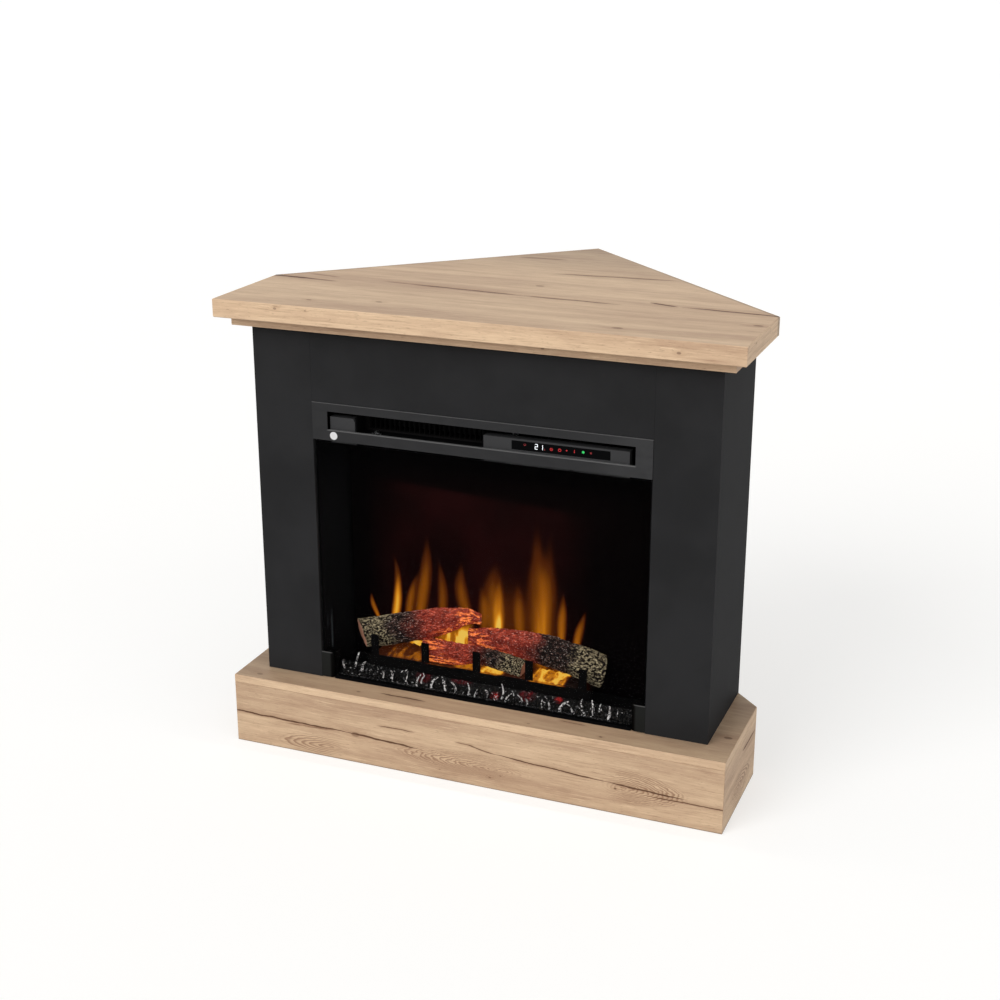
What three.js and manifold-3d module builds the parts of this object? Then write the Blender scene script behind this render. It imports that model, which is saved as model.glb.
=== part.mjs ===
// A corner fireplace: a surround of oak-faced and black boards that stands in the corner of a
// room, with an electric fire in its front. Two walls at 45 degrees bound it, so every board of
// the surround ends on the lines |x| + y = CORNER_Y.
//
// Millimetres, +Z up. The front faces -Y, and the corner of the room is at +Y. The origin is on
// the floor, at the centre of the rectangle that the mantel covers.
//
// The fire is a sheet-steel casing. Behind its glass lie a bed of acrylic crystals, a grate with
// three moulded logs on a glowing ember bed, and the screen on which the flames appear. Behind the
// screen a bright rotor turns in front of a row of lamps, and a stencil shapes its flicker. Above
// them a cross-flow fan blows through a heating element and out of the slot in the bezel.
import * as THREE from "three";
import { mergeVertices } from "three/addons/utils/BufferGeometryUtils.js";
import Module from "manifold-3d";

const wasm = await Module();
wasm.setup();

// ---------------------------------------------------------------- driving sizes: surround
const TOTAL_HEIGHT = 990;
const MANTEL_WIDTH = 1100;
const MANTEL_DEPTH = 812;
const MANTEL_THICKNESS = 38;
const MOULDING_THICKNESS = 20;
const MOULDING_FRONT_STEP = 29;
const MOULDING_SIDE_STEP = 25;
const BODY_WIDTH = 992;
const BODY_SETBACK = 61;
const BASE_WIDTH = 1096;
const BASE_HEIGHT = 158;
const BOARD = 18;
const ARRIS = 1.5; // the small bevel on the edges of the oak boards
const STRETCHER_HEIGHT = 80;
const STRETCHER_SETBACK = 4; // clear of the back of the fire
const POST_WIDTH = 130;

// ---------------------------------------------------------------- driving sizes: fire
const FIRE_WIDTH = 730; // the opening between the legs
const FIRE_HEIGHT = 621; // the opening under the header
const FIRE_DEPTH = 223; // from the front of the surround to the back of the casing
const CASING_SIDE_GAP = 3;
const SHEET = 1.5; // the casing's steel
const FLANGE = 12;
const SEAT = 0.25; // what is left between two faces that touch
const GLASS_SETBACK = 2;
const GLASS_THICKNESS = 4;
const GLASS_TUCK = 6; // how far the glass goes up behind the bezel
const RAIL_HEIGHT = 6;
const RAIL_SHEET = 1;
const BEZEL_HEIGHT = 80;
const BEZEL_SHEET = 2;
const BEZEL_PROUD = 1.5;
const SLOT_SIDE_MARGIN = 35;
const SLOT_TOP_MARGIN = 18;
const SLOT_HEIGHT = 39;
const SLOT_FLANGE = 3.5;
const CLIP_WIDTH = 7;
const CLIP_SPACING = 398;
const CLIP_SHOWS = 3; // how far a clip reaches below the bezel
const CLIP_GRIP = 9;
const CLIP_SHEET = 1;

// ---------------------------------------------------------------- driving sizes: heater
const HEATER_BAY_HEIGHT = 86; // from the deck to the top of the casing
const COVER_SETBACK = 5;
const COVER_DEPTH = 20;
const COVER_TOP_GAP = 12; // the dark line over the left cover, inside the slot
const CONTROL_TOP_GAP = 13.5;
const COVER_WALL = 2.5;
const COVER_CHAMFER = 7;
const LEFT_COVER_WIDTH = 56;
const LEFT_COVER_MARGIN = 3.5; // from the slot's left end
const CONTROL_WIDTH = 303;
const CONTROL_MARGIN = 13.5; // from the slot's right end
const LENS_WIDTH = 204;
const LENS_HEIGHT = 18;
const LENS_THICKNESS = 2;
const LENS_PROUD = 0.5;
const LENS_MARGIN = 39; // from the control housing's right end
const LENS_RISE = 4; // under the control housing's top
const DUCT_DEPTH = 76;
const DUCT_CLEARANCE = 2; // between the duct and the covers beside it
const DUCT_SETBACK = 8;
const DUCT_OVERLAP = 6; // how much taller the duct is than the slot, above and below
const ELEMENT_DEPTH = 20;
const ELEMENT_SETBACK = 46;
const ELEMENT_FINS = 22;
const THERMOSTAT_RADIUS = 5.5;
const THERMOSTAT_HEIGHT = 5;
const THERMOSTAT_INSET = 36;
const FAN_RADIUS = 27;
const FAN_BLADES = 20;
const FAN_BLADE_DEPTH = 8;
const FAN_BLADE_SHEET = 1.2;
const FAN_CLEARANCE = 4;
const FAN_SHAFT_RADIUS = 3;
const FAN_MOTOR_RADIUS = 20;
const FAN_MOTOR_LENGTH = 34;
const RUNNING_CLEARANCE = 0.3; // round a shaft in its bearing
const BOARD_SHEET = 1.6; // a printed circuit board
const BOARD_WIDTH = 190;
const BOARD_DEPTH = 96;
const BOARD_PILLAR = 8;
const BOARD_INSET = 62; // from the control housing's left end
const BOARD_SETBACK = 30; // behind the covers

// ---------------------------------------------------------------- driving sizes: flame effect
const SCREEN_SETBACK = 140;
const SCREEN_THICKNESS = 3;
const SCREEN_SIDE_GAP = 8;
const STENCIL_GAP = 10;
const STENCIL_HEIGHT = 300;
const STENCIL_FLAMES = 7;
const ROTOR_RADIUS = 24;
const ROTOR_HEIGHT = 60;
const ROTOR_SETBACK = 182;
const ROTOR_LENGTH = 560;
const ROTOR_SHAFT_RADIUS = 3;
const ROTOR_VANES = 18;
const VANE_SHEET = 0.8;
const ROTOR_MOTOR_RADIUS = 17;
const ROTOR_MOTOR_LENGTH = 22;
const LAMP_STRIP_LENGTH = 540;
const LAMP_COUNT = 14;
const GLAND_RADIUS = 11;
const GLAND_NECK = 6.6;
const GLAND_HEIGHT = 112;
const GLAND_INSET = 62; // from the casing's right side
const GLAND_BORE = 4;

// ---------------------------------------------------------------- driving sizes: fuel bed
const GRATE_SETBACK = 42;
const GRATE_CENTRE = -20;
const GRATE_PITCH = 118.5;
const GRATE_UPRIGHTS = 5;
const GRATE_BAR = 17;
const GRATE_SHEET = 3;
const GRATE_RAIL_TOP = 52;
const GRATE_TOP = 97;
const GRATE_BAR_DEPTH = 36;
const EMBER_WIDTH = 462;
const EMBER_DEPTH = 66;
const EMBER_CENTRE = -32;
const EMBER_LEVEL = 49;
const EMBER_WALL = 8;
const TRAY_SETBACK = 8.5;
const TRAY_LIP = 5;
const TRAY_BACK = 18;
const BANK_LOW = 6;
const BANK_HIGH = 27;
const BANK_SHELF = 8;
const END_BLOCK_WIDTH = 30; // from the opening's side
const END_BLOCK_DEPTH = 27;
const END_BLOCK_HEIGHT = 60;
const END_BLOCK_ROUND = 9; // the radius of its inner front edge
const CRYSTAL_COUNT = 30;
const CRYSTAL_SIZE = 6.4; // a crystal's radius where it leaves the bank
const CRYSTAL_REACH = 27; // its height over the bank

// ---------------------------------------------------------------- places that follow
const CORNER_Y = MANTEL_DEPTH / 2;
const MANTEL_FRONT = -MANTEL_DEPTH / 2;
const MANTEL_BOTTOM = TOTAL_HEIGHT - MANTEL_THICKNESS;
const BODY_TOP = MANTEL_BOTTOM - MOULDING_THICKNESS;
const BODY_FRONT = MANTEL_FRONT + BODY_SETBACK;
const BODY_BACK = BODY_FRONT + BOARD;
const BODY_SIDE = BODY_WIDTH / 2;
const BODY_INSIDE = BODY_SIDE - BOARD;
const OPENING_SIDE = FIRE_WIDTH / 2;
const BASE_BOX_TOP = BASE_HEIGHT - BOARD;

const CASING_SIDE = OPENING_SIDE - CASING_SIDE_GAP;
const CASING_INSIDE = CASING_SIDE - SHEET;
const GLASS_BACK = GLASS_SETBACK + GLASS_THICKNESS;
const CASING_FRONT = GLASS_BACK + 1;
const CASING_TOP = FIRE_HEIGHT - SHEET;
const BACK_PANEL_FRONT = FIRE_DEPTH - SHEET;
const DECK_TOP = CASING_TOP - HEATER_BAY_HEIGHT + SHEET;
const DECK_BOTTOM = DECK_TOP - SHEET;
const BEZEL_TOP = FIRE_HEIGHT - SEAT * 2;
const BEZEL_BOTTOM = FIRE_HEIGHT - BEZEL_HEIGHT;
const BEZEL_BACK = BEZEL_SHEET - BEZEL_PROUD;
const GLASS_TOP = BEZEL_BOTTOM + GLASS_TUCK;
const END_BLOCK_INNER = OPENING_SIDE - END_BLOCK_WIDTH;
const SLOT_TOP = FIRE_HEIGHT - SLOT_TOP_MARGIN;
const SLOT_BOTTOM = SLOT_TOP - SLOT_HEIGHT;
const SLOT_SIDE = OPENING_SIDE - SLOT_SIDE_MARGIN;
const COVER_TOP = SLOT_TOP - COVER_TOP_GAP;
const CONTROL_TOP = SLOT_TOP - CONTROL_TOP_GAP;
const COVER_BACK = COVER_SETBACK + COVER_DEPTH;
const GLAND_X = CASING_SIDE - GLAND_INSET;

// ---------------------------------------------------------------- materials
const paint = (color, roughness, metalness = 0) =>
  new THREE.MeshStandardMaterial({ color, roughness, metalness });
const OAK = paint(0xc6a27c, 0.6);
const BLACK_BOARD = paint(0x2c2c2d, 0.7);
const RAW_BOARD = paint(0xb59a78, 0.85);
const BLACK_STEEL = paint(0x151515, 0.55, 0.4);
const BEZEL_PAINT = paint(0x343536, 0.5, 0.3);
const ZINC = paint(0x9a9d9f, 0.45, 0.9);
const SMOKED_GLASS = paint(0x08090a, 0.05);
const BLACK_PLASTIC = paint(0x2a2b2c, 0.55);
const LENS_ACRYLIC = paint(0x030303, 0.08);
const CIRCUIT_GREEN = paint(0x1d5a35, 0.5);
const ALUMINIUM = paint(0xc9cbcd, 0.35, 0.95);
const CERAMIC = paint(0xd8d2c4, 0.8);
const SCREEN_ACRYLIC = paint(0x2a0d05, 0.2);
const EMBER_RESIN = paint(0xe8791a, 0.6);
const BARK_RESIN = paint(0x6a3a28, 0.85);
const CRYSTAL = paint(0x33363a, 0.1);

// ---------------------------------------------------------------- making and cutting solids
/** A closed geometry as a solid that can be joined and cut. */
function solid(geometry) {
  const bare = geometry.index ? geometry.toNonIndexed() : geometry.clone();
  bare.deleteAttribute("normal");
  bare.deleteAttribute("uv");
  const merged = mergeVertices(bare, 1e-4);
  return new wasm.Manifold(
    new wasm.Mesh({
      numProp: 3,
      vertProperties: merged.attributes.position.array,
      triVerts: new Uint32Array(merged.index.array),
    }),
  );
}

/** A solid as a geometry again. */
function geometryOf(body) {
  const mesh = body.getMesh();
  const geometry = new THREE.BufferGeometry();
  geometry.setAttribute("position", new THREE.BufferAttribute(mesh.vertProperties, 3));
  geometry.setIndex(new THREE.BufferAttribute(mesh.triVerts, 1));
  geometry.computeVertexNormals();
  return geometry;
}

const join = (...pieces) => geometryOf(pieces.map(solid).reduce((all, next) => all.add(next)));
const cut = (body, ...tools) =>
  geometryOf(tools.map(solid).reduce((left, tool) => left.subtract(tool), solid(body)));

/** A box between two values on each axis. */
function box([x0, x1], [y0, y1], [z0, z1]) {
  const geometry = new THREE.BoxGeometry(x1 - x0, y1 - y0, z1 - z0);
  return geometry.translate((x0 + x1) / 2, (y0 + y1) / 2, (z0 + z1) / 2);
}

const outline = (points) => new THREE.Shape(points.map(([a, b]) => new THREE.Vector2(a, b)));

/** A board given in plan, with its edges bevelled. */
function arrisedPlan(points, z0, z1, bevel) {
  const geometry = new THREE.ExtrudeGeometry(outline(points), {
    depth: z1 - z0 - 2 * bevel,
    bevelThickness: bevel,
    bevelSize: bevel,
    bevelOffset: -bevel,
    bevelSegments: 1,
  });
  return geometry.translate(0, 0, z0 + bevel);
}

/** A shape given in plan, from z0 to z1. */
function above(shape, z0, z1, curveSegments = 4) {
  const geometry = new THREE.ExtrudeGeometry(shape, { depth: z1 - z0, bevelEnabled: false, curveSegments });
  return geometry.translate(0, 0, z0);
}

/** A board or plate whose corners are given in plan, from z0 to z1. */
const plan = (points, z0, z1) => above(outline(points), z0, z1);

/** A shape given as seen from the front, from y0 to y1. */
const front = (shape, y0, y1, curveSegments = 4) =>
  above(shape, -y1, -y0, curveSegments).rotateX(Math.PI / 2);

const ALONG_X = new THREE.Matrix4().makeBasis(
  new THREE.Vector3(0, 1, 0),
  new THREE.Vector3(0, 0, 1),
  new THREE.Vector3(1, 0, 0),
);

/** A bar whose section is given as (y, z) points, from x0 to x1. */
function bar(points, x0, x1) {
  const geometry = new THREE.ExtrudeGeometry(outline(points), { depth: x1 - x0, bevelEnabled: false });
  return geometry.applyMatrix4(ALONG_X).translate(x0, 0, 0);
}

/** A round rod along X from x0 to x1. */
function rodX(radius, x0, x1, sides = 20) {
  const geometry = new THREE.CylinderGeometry(radius, radius, x1 - x0, sides);
  return geometry.rotateZ(-Math.PI / 2).translate((x0 + x1) / 2, 0, 0);
}

/** A round rod along Y from y0 to y1. */
function rodY(radius, y0, y1, sides = 16) {
  const geometry = new THREE.CylinderGeometry(radius, radius, y1 - y0, sides);
  return geometry.translate(0, (y0 + y1) / 2, 0);
}

/** A round rod along Z from z0 to z1. */
function rodZ(radius, z0, z1, sides = 16) {
  const geometry = new THREE.CylinderGeometry(radius, radius, z1 - z0, sides);
  return geometry.rotateX(Math.PI / 2).translate(0, 0, (z0 + z1) / 2);
}

/** A rounded slot's outline, centred at (a, b) of the sheet that it is cut from. */
function slot(a, b, length, height) {
  const radius = height / 2;
  const reach = length / 2 - radius;
  const shape = new THREE.Shape();
  shape.absarc(a + reach, b, radius, -Math.PI / 2, Math.PI / 2, false);
  shape.absarc(a - reach, b, radius, Math.PI / 2, Math.PI * 1.5, false);
  return shape;
}

/** Rows of rounded slots, each row centred at the same place along the sheet. */
function slotRows(rows, { count, pitch, length, height, centre }) {
  const places = Array.from({ length: count }, (_, i) => centre + (i - (count - 1) / 2) * pitch);
  return rows.flatMap((row) => places.map((place) => slot(place, row, length, height)));
}

const ordered = (a, b) => (a < b ? [a, b] : [b, a]);
const mirrored = (points, side) => points.map(([x, y]) => [x * side, y]);

/** A repeatable value from -1 to 1 for a whole number, so that nothing here is random. */
function scatter(n, salt) {
  const value = Math.sin(n * 12.9898 + salt * 78.233) * 43758.5453;
  return (value - Math.floor(value)) * 2 - 1;
}

function piece(group, name, geometry, material, at = [0, 0, 0]) {
  const mesh = new THREE.Mesh(geometry, material);
  mesh.name = name;
  mesh.position.set(...at);
  group.add(mesh);
  return mesh;
}

// ---------------------------------------------------------------- the surround
/** The plan of a board that fills the corner: a front, two square sides and the two walls. */
function cornerPlan(halfWidth, frontY) {
  const sideEnd = CORNER_Y - halfWidth;
  return [
    [-halfWidth, frontY], [halfWidth, frontY], [halfWidth, sideEnd], [0, CORNER_Y], [-halfWidth, sideEnd],
  ];
}

/** The plan of a board that stands against one wall, from x0 to x1 as the wall runs to the side. */
function wallPlan(x0, x1, side) {
  const inset = BOARD * Math.SQRT2;
  return mirrored(
    [[x0, CORNER_Y - x0], [x1, CORNER_Y - x1], [x1, CORNER_Y - x1 - inset], [x0, CORNER_Y - x0 - inset]],
    side,
  );
}

function surround() {
  const group = new THREE.Group();
  const height = BODY_TOP - BASE_HEIGHT - SEAT * 2;
  const foot = BASE_HEIGHT + SEAT;
  const mouldingPlan = cornerPlan(MANTEL_WIDTH / 2 - MOULDING_SIDE_STEP, MANTEL_FRONT + MOULDING_FRONT_STEP);

  piece(group, "mantel_top",
    arrisedPlan(cornerPlan(MANTEL_WIDTH / 2, MANTEL_FRONT), 0, MANTEL_THICKNESS, ARRIS),
    OAK, [0, 0, MANTEL_BOTTOM]);
  piece(group, "mantel_moulding",
    arrisedPlan(mouldingPlan, 0, MOULDING_THICKNESS - SEAT, ARRIS / 2), OAK, [0, 0, BODY_TOP]);

  const headerFoot = BASE_HEIGHT + FIRE_HEIGHT;
  const headerHeight = BODY_TOP - headerFoot - SEAT;
  piece(group, "header_panel",
    box([SEAT - OPENING_SIDE, OPENING_SIDE - SEAT], [BODY_FRONT, BODY_BACK], [0, headerHeight]),
    BLACK_BOARD, [0, 0, headerFoot]);

  for (const [word, side] of [["left", -1], ["right", 1]]) {
    piece(group, `${word}_leg_panel`,
      box(ordered(side * OPENING_SIDE, side * BODY_SIDE), [BODY_FRONT, BODY_BACK], [0, height]),
      BLACK_BOARD, [0, 0, foot]);
    const sidePlan = mirrored([
      [BODY_INSIDE, BODY_BACK + SEAT],
      [BODY_SIDE, BODY_BACK + SEAT],
      [BODY_SIDE, CORNER_Y - BODY_SIDE],
      [BODY_INSIDE, CORNER_Y - BODY_INSIDE],
    ], side);
    piece(group, `${word}_side_panel`, plan(sidePlan, 0, height), BLACK_BOARD, [0, 0, foot]);
    piece(group, `rear_post_${word}`,
      plan(wallPlan(SEAT / 2, POST_WIDTH / Math.SQRT2, side), 0, height), RAW_BOARD, [0, 0, foot]);
  }

  const stretcherFront = BODY_FRONT + FIRE_DEPTH + STRETCHER_SETBACK;
  const stretcher = box(
    [-BODY_INSIDE + SEAT, BODY_INSIDE - SEAT],
    [stretcherFront, stretcherFront + BOARD],
    [0, STRETCHER_HEIGHT],
  );
  piece(group, "upper_stretcher", stretcher, RAW_BOARD, [0, 0, BODY_TOP - STRETCHER_HEIGHT - SEAT]);
  piece(group, "lower_stretcher", stretcher.clone(), RAW_BOARD, [0, 0, foot]);
  return group;
}

function base() {
  const group = new THREE.Group();
  const side = BASE_WIDTH / 2;
  const inside = side - BOARD;
  const boxHeight = BASE_BOX_TOP - SEAT;
  const insideFront = MANTEL_FRONT + BOARD;
  const wallInset = BOARD * Math.SQRT2;

  piece(group, "base_top",
    arrisedPlan(cornerPlan(side, MANTEL_FRONT), 0, BOARD, ARRIS / 2), OAK, [0, 0, BASE_BOX_TOP]);
  // The front and side boards are mitred at the corners.
  piece(group, "base_front_board",
    plan([
      [-side + SEAT, MANTEL_FRONT],
      [side - SEAT, MANTEL_FRONT],
      [inside - SEAT, insideFront],
      [-inside + SEAT, insideFront],
    ], 0, boxHeight), OAK);
  for (const [word, sign] of [["left", -1], ["right", 1]]) {
    const sidePlan = mirrored([
      [side, MANTEL_FRONT + SEAT],
      [side, CORNER_Y - side],
      [inside, CORNER_Y - inside],
      [inside, insideFront + SEAT],
    ], sign);
    piece(group, `base_${word}_board`, plan(sidePlan, 0, boxHeight), OAK);
    piece(group, `base_rear_${word}_board`,
      plan(wallPlan(SEAT / 2, inside - SEAT, sign), 0, boxHeight), RAW_BOARD);
  }
  const ribBack = CORNER_Y - wallInset - BOARD / 2 - SEAT;
  piece(group, "base_centre_rib",
    box([-BOARD / 2, BOARD / 2], [insideFront + SEAT, ribBack], [0, boxHeight]), RAW_BOARD);
  return group;
}

/** The steel angle that holds the casing to the back of a leg, with its two screws. */
function fixingBracket(side) {
  const reach = 40;
  const tall = 56;
  const sheet = 2;
  const inner = CASING_SIDE + SEAT;
  const back = BOARD + SEAT;
  const shape = mirrored([
    [inner, back], [inner + reach, back], [inner + reach, back + sheet],
    [inner + sheet, back + sheet], [inner + sheet, back + reach], [inner, back + reach],
  ], side);
  const angle = plan(shape, -tall / 2, tall / 2);
  const screwX = side * (inner + reach * 0.62);
  const screw = rodY(5, back + sheet - 1, back + sheet + 2.5, 12).translate(screwX, 0, 0);
  const screws = [-1, 1].map((row) => screw.clone().translate(0, 0, row * tall * 0.28));
  return join(angle, ...screws);
}

// ---------------------------------------------------------------- the casing of the fire
function casing() {
  const group = new THREE.Group();
  const depth = [CASING_FRONT, FIRE_DEPTH];
  const wallHeight = CASING_TOP - SHEET - SEAT * 2;

  piece(group, "floor_pan", box([-CASING_SIDE, CASING_SIDE], depth, [SEAT, SHEET]), BLACK_STEEL);

  for (const [word, side] of [["left", -1], ["right", 1]]) {
    // Each wall turns in at the back, where the back panel is screwed on.
    const section = mirrored([
      [CASING_SIDE, CASING_FRONT],
      [CASING_SIDE, BACK_PANEL_FRONT - SEAT],
      [CASING_SIDE - FLANGE, BACK_PANEL_FRONT - SEAT],
      [CASING_SIDE - FLANGE, BACK_PANEL_FRONT - SEAT - SHEET],
      [CASING_INSIDE, BACK_PANEL_FRONT - SEAT - SHEET],
      [CASING_INSIDE, CASING_FRONT],
    ], side);
    piece(group, `casing_${word}_wall`, plan(section, 0, wallHeight), BLACK_STEEL, [0, 0, SHEET + SEAT]);
  }

  const ventRows = [CASING_TOP - 30, CASING_TOP - 50];
  const vents = slotRows(ventRows, { count: 8, pitch: 64, length: 46, height: 7, centre: 0 });
  const through = [BACK_PANEL_FRONT - 1, FIRE_DEPTH + 1];
  const glandHole = rodY(GLAND_NECK + RUNNING_CLEARANCE, ...through, 18).translate(GLAND_X, 0, GLAND_HEIGHT);
  const backPanel = box(
    [-CASING_SIDE, CASING_SIDE], [BACK_PANEL_FRONT, FIRE_DEPTH], [SHEET + SEAT, CASING_TOP - SEAT]);
  piece(group, "back_panel",
    cut(backPanel, glandHole, ...vents.map((vent) => front(vent, ...through))), BLACK_STEEL);

  const lidRows = [FAN_SETBACK - 8, FAN_SETBACK + 12, FAN_SETBACK + 32];
  const inlets = slotRows(lidRows, { count: 6, pitch: 44, length: 34, height: 7, centre: FAN_CENTRE });
  const lid = box([-CASING_SIDE, CASING_SIDE], depth, [CASING_TOP, FIRE_HEIGHT]);
  piece(group, "casing_lid",
    cut(lid, ...inlets.map((inlet) => above(inlet, CASING_TOP - 1, FIRE_HEIGHT + 1))), BLACK_STEEL);

  const deckBack = BACK_PANEL_FRONT - SHEET - SEAT * 2;
  piece(group, "heater_deck",
    box([-CASING_INSIDE + SEAT, CASING_INSIDE - SEAT], [CASING_FRONT + 1, deckBack], [DECK_BOTTOM, DECK_TOP]),
    BLACK_STEEL);
  return group;
}

/** The cable gland in the back panel: a collar, a hexagon and a neck, with a bore through them. */
function gland() {
  const inside = -14;
  const outside = 20;
  const profile = [
    [GLAND_BORE, inside], [GLAND_NECK, inside], [GLAND_NECK, SEAT], [GLAND_RADIUS, SEAT], [GLAND_RADIUS, 9],
    [GLAND_RADIUS * 0.8, 11], [GLAND_RADIUS * 0.62, outside], [GLAND_BORE, outside], [GLAND_BORE, inside],
  ];
  return new THREE.LatheGeometry(profile.map(([r, y]) => new THREE.Vector2(r, y)), 18);
}

// ---------------------------------------------------------------- glass and bezel
function facade() {
  const group = new THREE.Group();
  const side = OPENING_SIDE - SEAT * 2;

  // The bezel is a folded sheet: a face with the slot in it, a flange back to the lid, and the
  // slot's two long edges turned inwards.
  const face = outline([[-side, BEZEL_BOTTOM], [side, BEZEL_BOTTOM], [side, BEZEL_TOP], [-side, BEZEL_TOP]]);
  face.holes.push(new THREE.Path([
    new THREE.Vector2(-SLOT_SIDE, SLOT_BOTTOM), new THREE.Vector2(SLOT_SIDE, SLOT_BOTTOM),
    new THREE.Vector2(SLOT_SIDE, SLOT_TOP), new THREE.Vector2(-SLOT_SIDE, SLOT_TOP),
  ]));
  const root = BEZEL_BACK - BEZEL_SHEET / 2;
  piece(group, "front_bezel", join(
    front(face, -BEZEL_PROUD, BEZEL_BACK),
    box([-side, side], [root, CASING_FRONT - SEAT], [BEZEL_TOP - BEZEL_SHEET, BEZEL_TOP]),
    box([-SLOT_SIDE, SLOT_SIDE], [root, BEZEL_BACK + SLOT_FLANGE], [SLOT_BOTTOM - BEZEL_SHEET, SLOT_BOTTOM]),
    box([-SLOT_SIDE, SLOT_SIDE], [root, BEZEL_BACK + SLOT_FLANGE], [SLOT_TOP, SLOT_TOP + BEZEL_SHEET]),
  ), BEZEL_PAINT);

  // The glass is notched round the two end blocks, and stands between them.
  const foot = RAIL_SHEET + SEAT;
  const inner = END_BLOCK_INNER - SEAT;
  const shoulder = END_BLOCK_HEIGHT + SEAT;
  piece(group, "front_glass", front(outline([
    [-inner, foot], [inner, foot], [inner, shoulder], [side, shoulder],
    [side, GLASS_TOP], [-side, GLASS_TOP], [-side, shoulder], [-inner, shoulder],
  ]), GLASS_SETBACK, GLASS_BACK), SMOKED_GLASS);

  // The glass stands in a channel, and two spring clips wedge its top edge against the bezel.
  const railFront = GLASS_SETBACK - SEAT - RAIL_SHEET;
  const railBack = CASING_FRONT - SEAT;
  const rail = [
    [railFront, 0], [railBack, 0], [railBack, RAIL_HEIGHT / 2], [GLASS_BACK + SEAT, RAIL_HEIGHT / 2],
    [GLASS_BACK + SEAT, RAIL_SHEET], [GLASS_SETBACK - SEAT, RAIL_SHEET],
    [GLASS_SETBACK - SEAT, RAIL_HEIGHT], [railFront, RAIL_HEIGHT],
  ];
  piece(group, "glass_rail", bar(rail, -inner, inner), BLACK_STEEL, [0, 0, SEAT]);

  const clipFront = BEZEL_BACK + SEAT;
  const clipBack = GLASS_BACK + SEAT;
  const clipInner = GLASS_SETBACK - SEAT;
  const clip = [
    [clipFront, BEZEL_BOTTOM - CLIP_SHOWS], [clipInner, BEZEL_BOTTOM - CLIP_SHOWS],
    [clipInner, GLASS_TOP + SEAT], [clipBack, GLASS_TOP + SEAT], [clipBack, GLASS_TOP - CLIP_GRIP],
    [clipBack + CLIP_SHEET, GLASS_TOP - CLIP_GRIP], [clipBack + CLIP_SHEET, GLASS_TOP + SEAT + CLIP_SHEET],
    [clipFront, GLASS_TOP + SEAT + CLIP_SHEET],
  ];
  for (const [word, sign] of [["left", -1], ["right", 1]]) {
    const middle = (sign * CLIP_SPACING) / 2;
    piece(group, `glass_clip_${word}`, bar(clip, -CLIP_WIDTH / 2, CLIP_WIDTH / 2), ZINC, [middle, 0, 0]);
  }
  return group;
}

// ---------------------------------------------------------------- heater bay, over the deck
const LEFT_COVER_X0 = -SLOT_SIDE + LEFT_COVER_MARGIN;
const LEFT_COVER_X1 = LEFT_COVER_X0 + LEFT_COVER_WIDTH;
const CONTROL_X1 = SLOT_SIDE - CONTROL_MARGIN;
const CONTROL_X0 = CONTROL_X1 - CONTROL_WIDTH;
const DUCT_X0 = LEFT_COVER_X1 + DUCT_CLEARANCE;
const DUCT_X1 = CONTROL_X0 - DUCT_CLEARANCE;
const DUCT_BACK = DUCT_SETBACK + DUCT_DEPTH;
const DUCT_FLOOR = SLOT_BOTTOM - DUCT_OVERLAP;
const DUCT_CEILING = SLOT_TOP + DUCT_OVERLAP / 2;
const FAN_CENTRE = (DUCT_X0 + DUCT_X1) / 2;
const FAN_AXIS_Z = (DECK_TOP + CASING_TOP) / 2;
const FAN_SETBACK = DUCT_BACK + FAN_RADIUS + FAN_CLEARANCE + 6;
/** The two covers that fill the ends of the slot. The control housing has a pocket for its lens. */
function covers() {
  const group = new THREE.Group();
  const foot = DECK_TOP + SEAT;
  const stepTop = GLASS_TOP + CLIP_SHEET + 2 * SEAT;
  const stepBack = GLASS_BACK + CLIP_SHEET + 2 * SEAT;
  const step = box([-SLOT_SIDE, SLOT_SIDE], [COVER_SETBACK - 1, stepBack], [foot - 1, stepTop]);
  const hollow = (x0, x1, top) => box(
    [x0 + COVER_WALL, x1 - COVER_WALL], [stepBack + COVER_WALL, COVER_BACK + 1], [foot - 1, top - COVER_WALL]);

  // The left cover has one corner cut off, and both are stepped over the top of the glass.
  const left = outline([
    [LEFT_COVER_X0, foot], [LEFT_COVER_X1, foot], [LEFT_COVER_X1, COVER_TOP - COVER_CHAMFER],
    [LEFT_COVER_X1 - COVER_CHAMFER / 2, COVER_TOP], [LEFT_COVER_X0, COVER_TOP],
  ]);
  piece(group, "slot_cover", cut(
    front(left, COVER_SETBACK, COVER_BACK),
    hollow(LEFT_COVER_X0, LEFT_COVER_X1 - COVER_CHAMFER / 2, COVER_TOP), step,
  ), BLACK_PLASTIC);

  const lensX1 = CONTROL_X1 - LENS_MARGIN;
  const lensX0 = lensX1 - LENS_WIDTH;
  const lensTop = CONTROL_TOP - LENS_RISE;
  const lensBottom = lensTop - LENS_HEIGHT;
  const pocketBack = COVER_SETBACK + LENS_THICKNESS - LENS_PROUD;
  const pocket = box(
    [lensX0 - SEAT, lensX1 + SEAT], [COVER_SETBACK - 1, pocketBack + SEAT],
    [lensBottom - SEAT, lensTop + SEAT],
  );
  piece(group, "control_housing", cut(
    box([CONTROL_X0, CONTROL_X1], [COVER_SETBACK, COVER_BACK], [foot, CONTROL_TOP]),
    hollow(CONTROL_X0, CONTROL_X1, CONTROL_TOP), pocket, step,
  ), BLACK_PLASTIC);
  piece(group, "display_lens",
    box([lensX0, lensX1], [COVER_SETBACK - LENS_PROUD, pocketBack], [lensBottom, lensTop]), LENS_ACRYLIC);
  return group;
}

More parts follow.
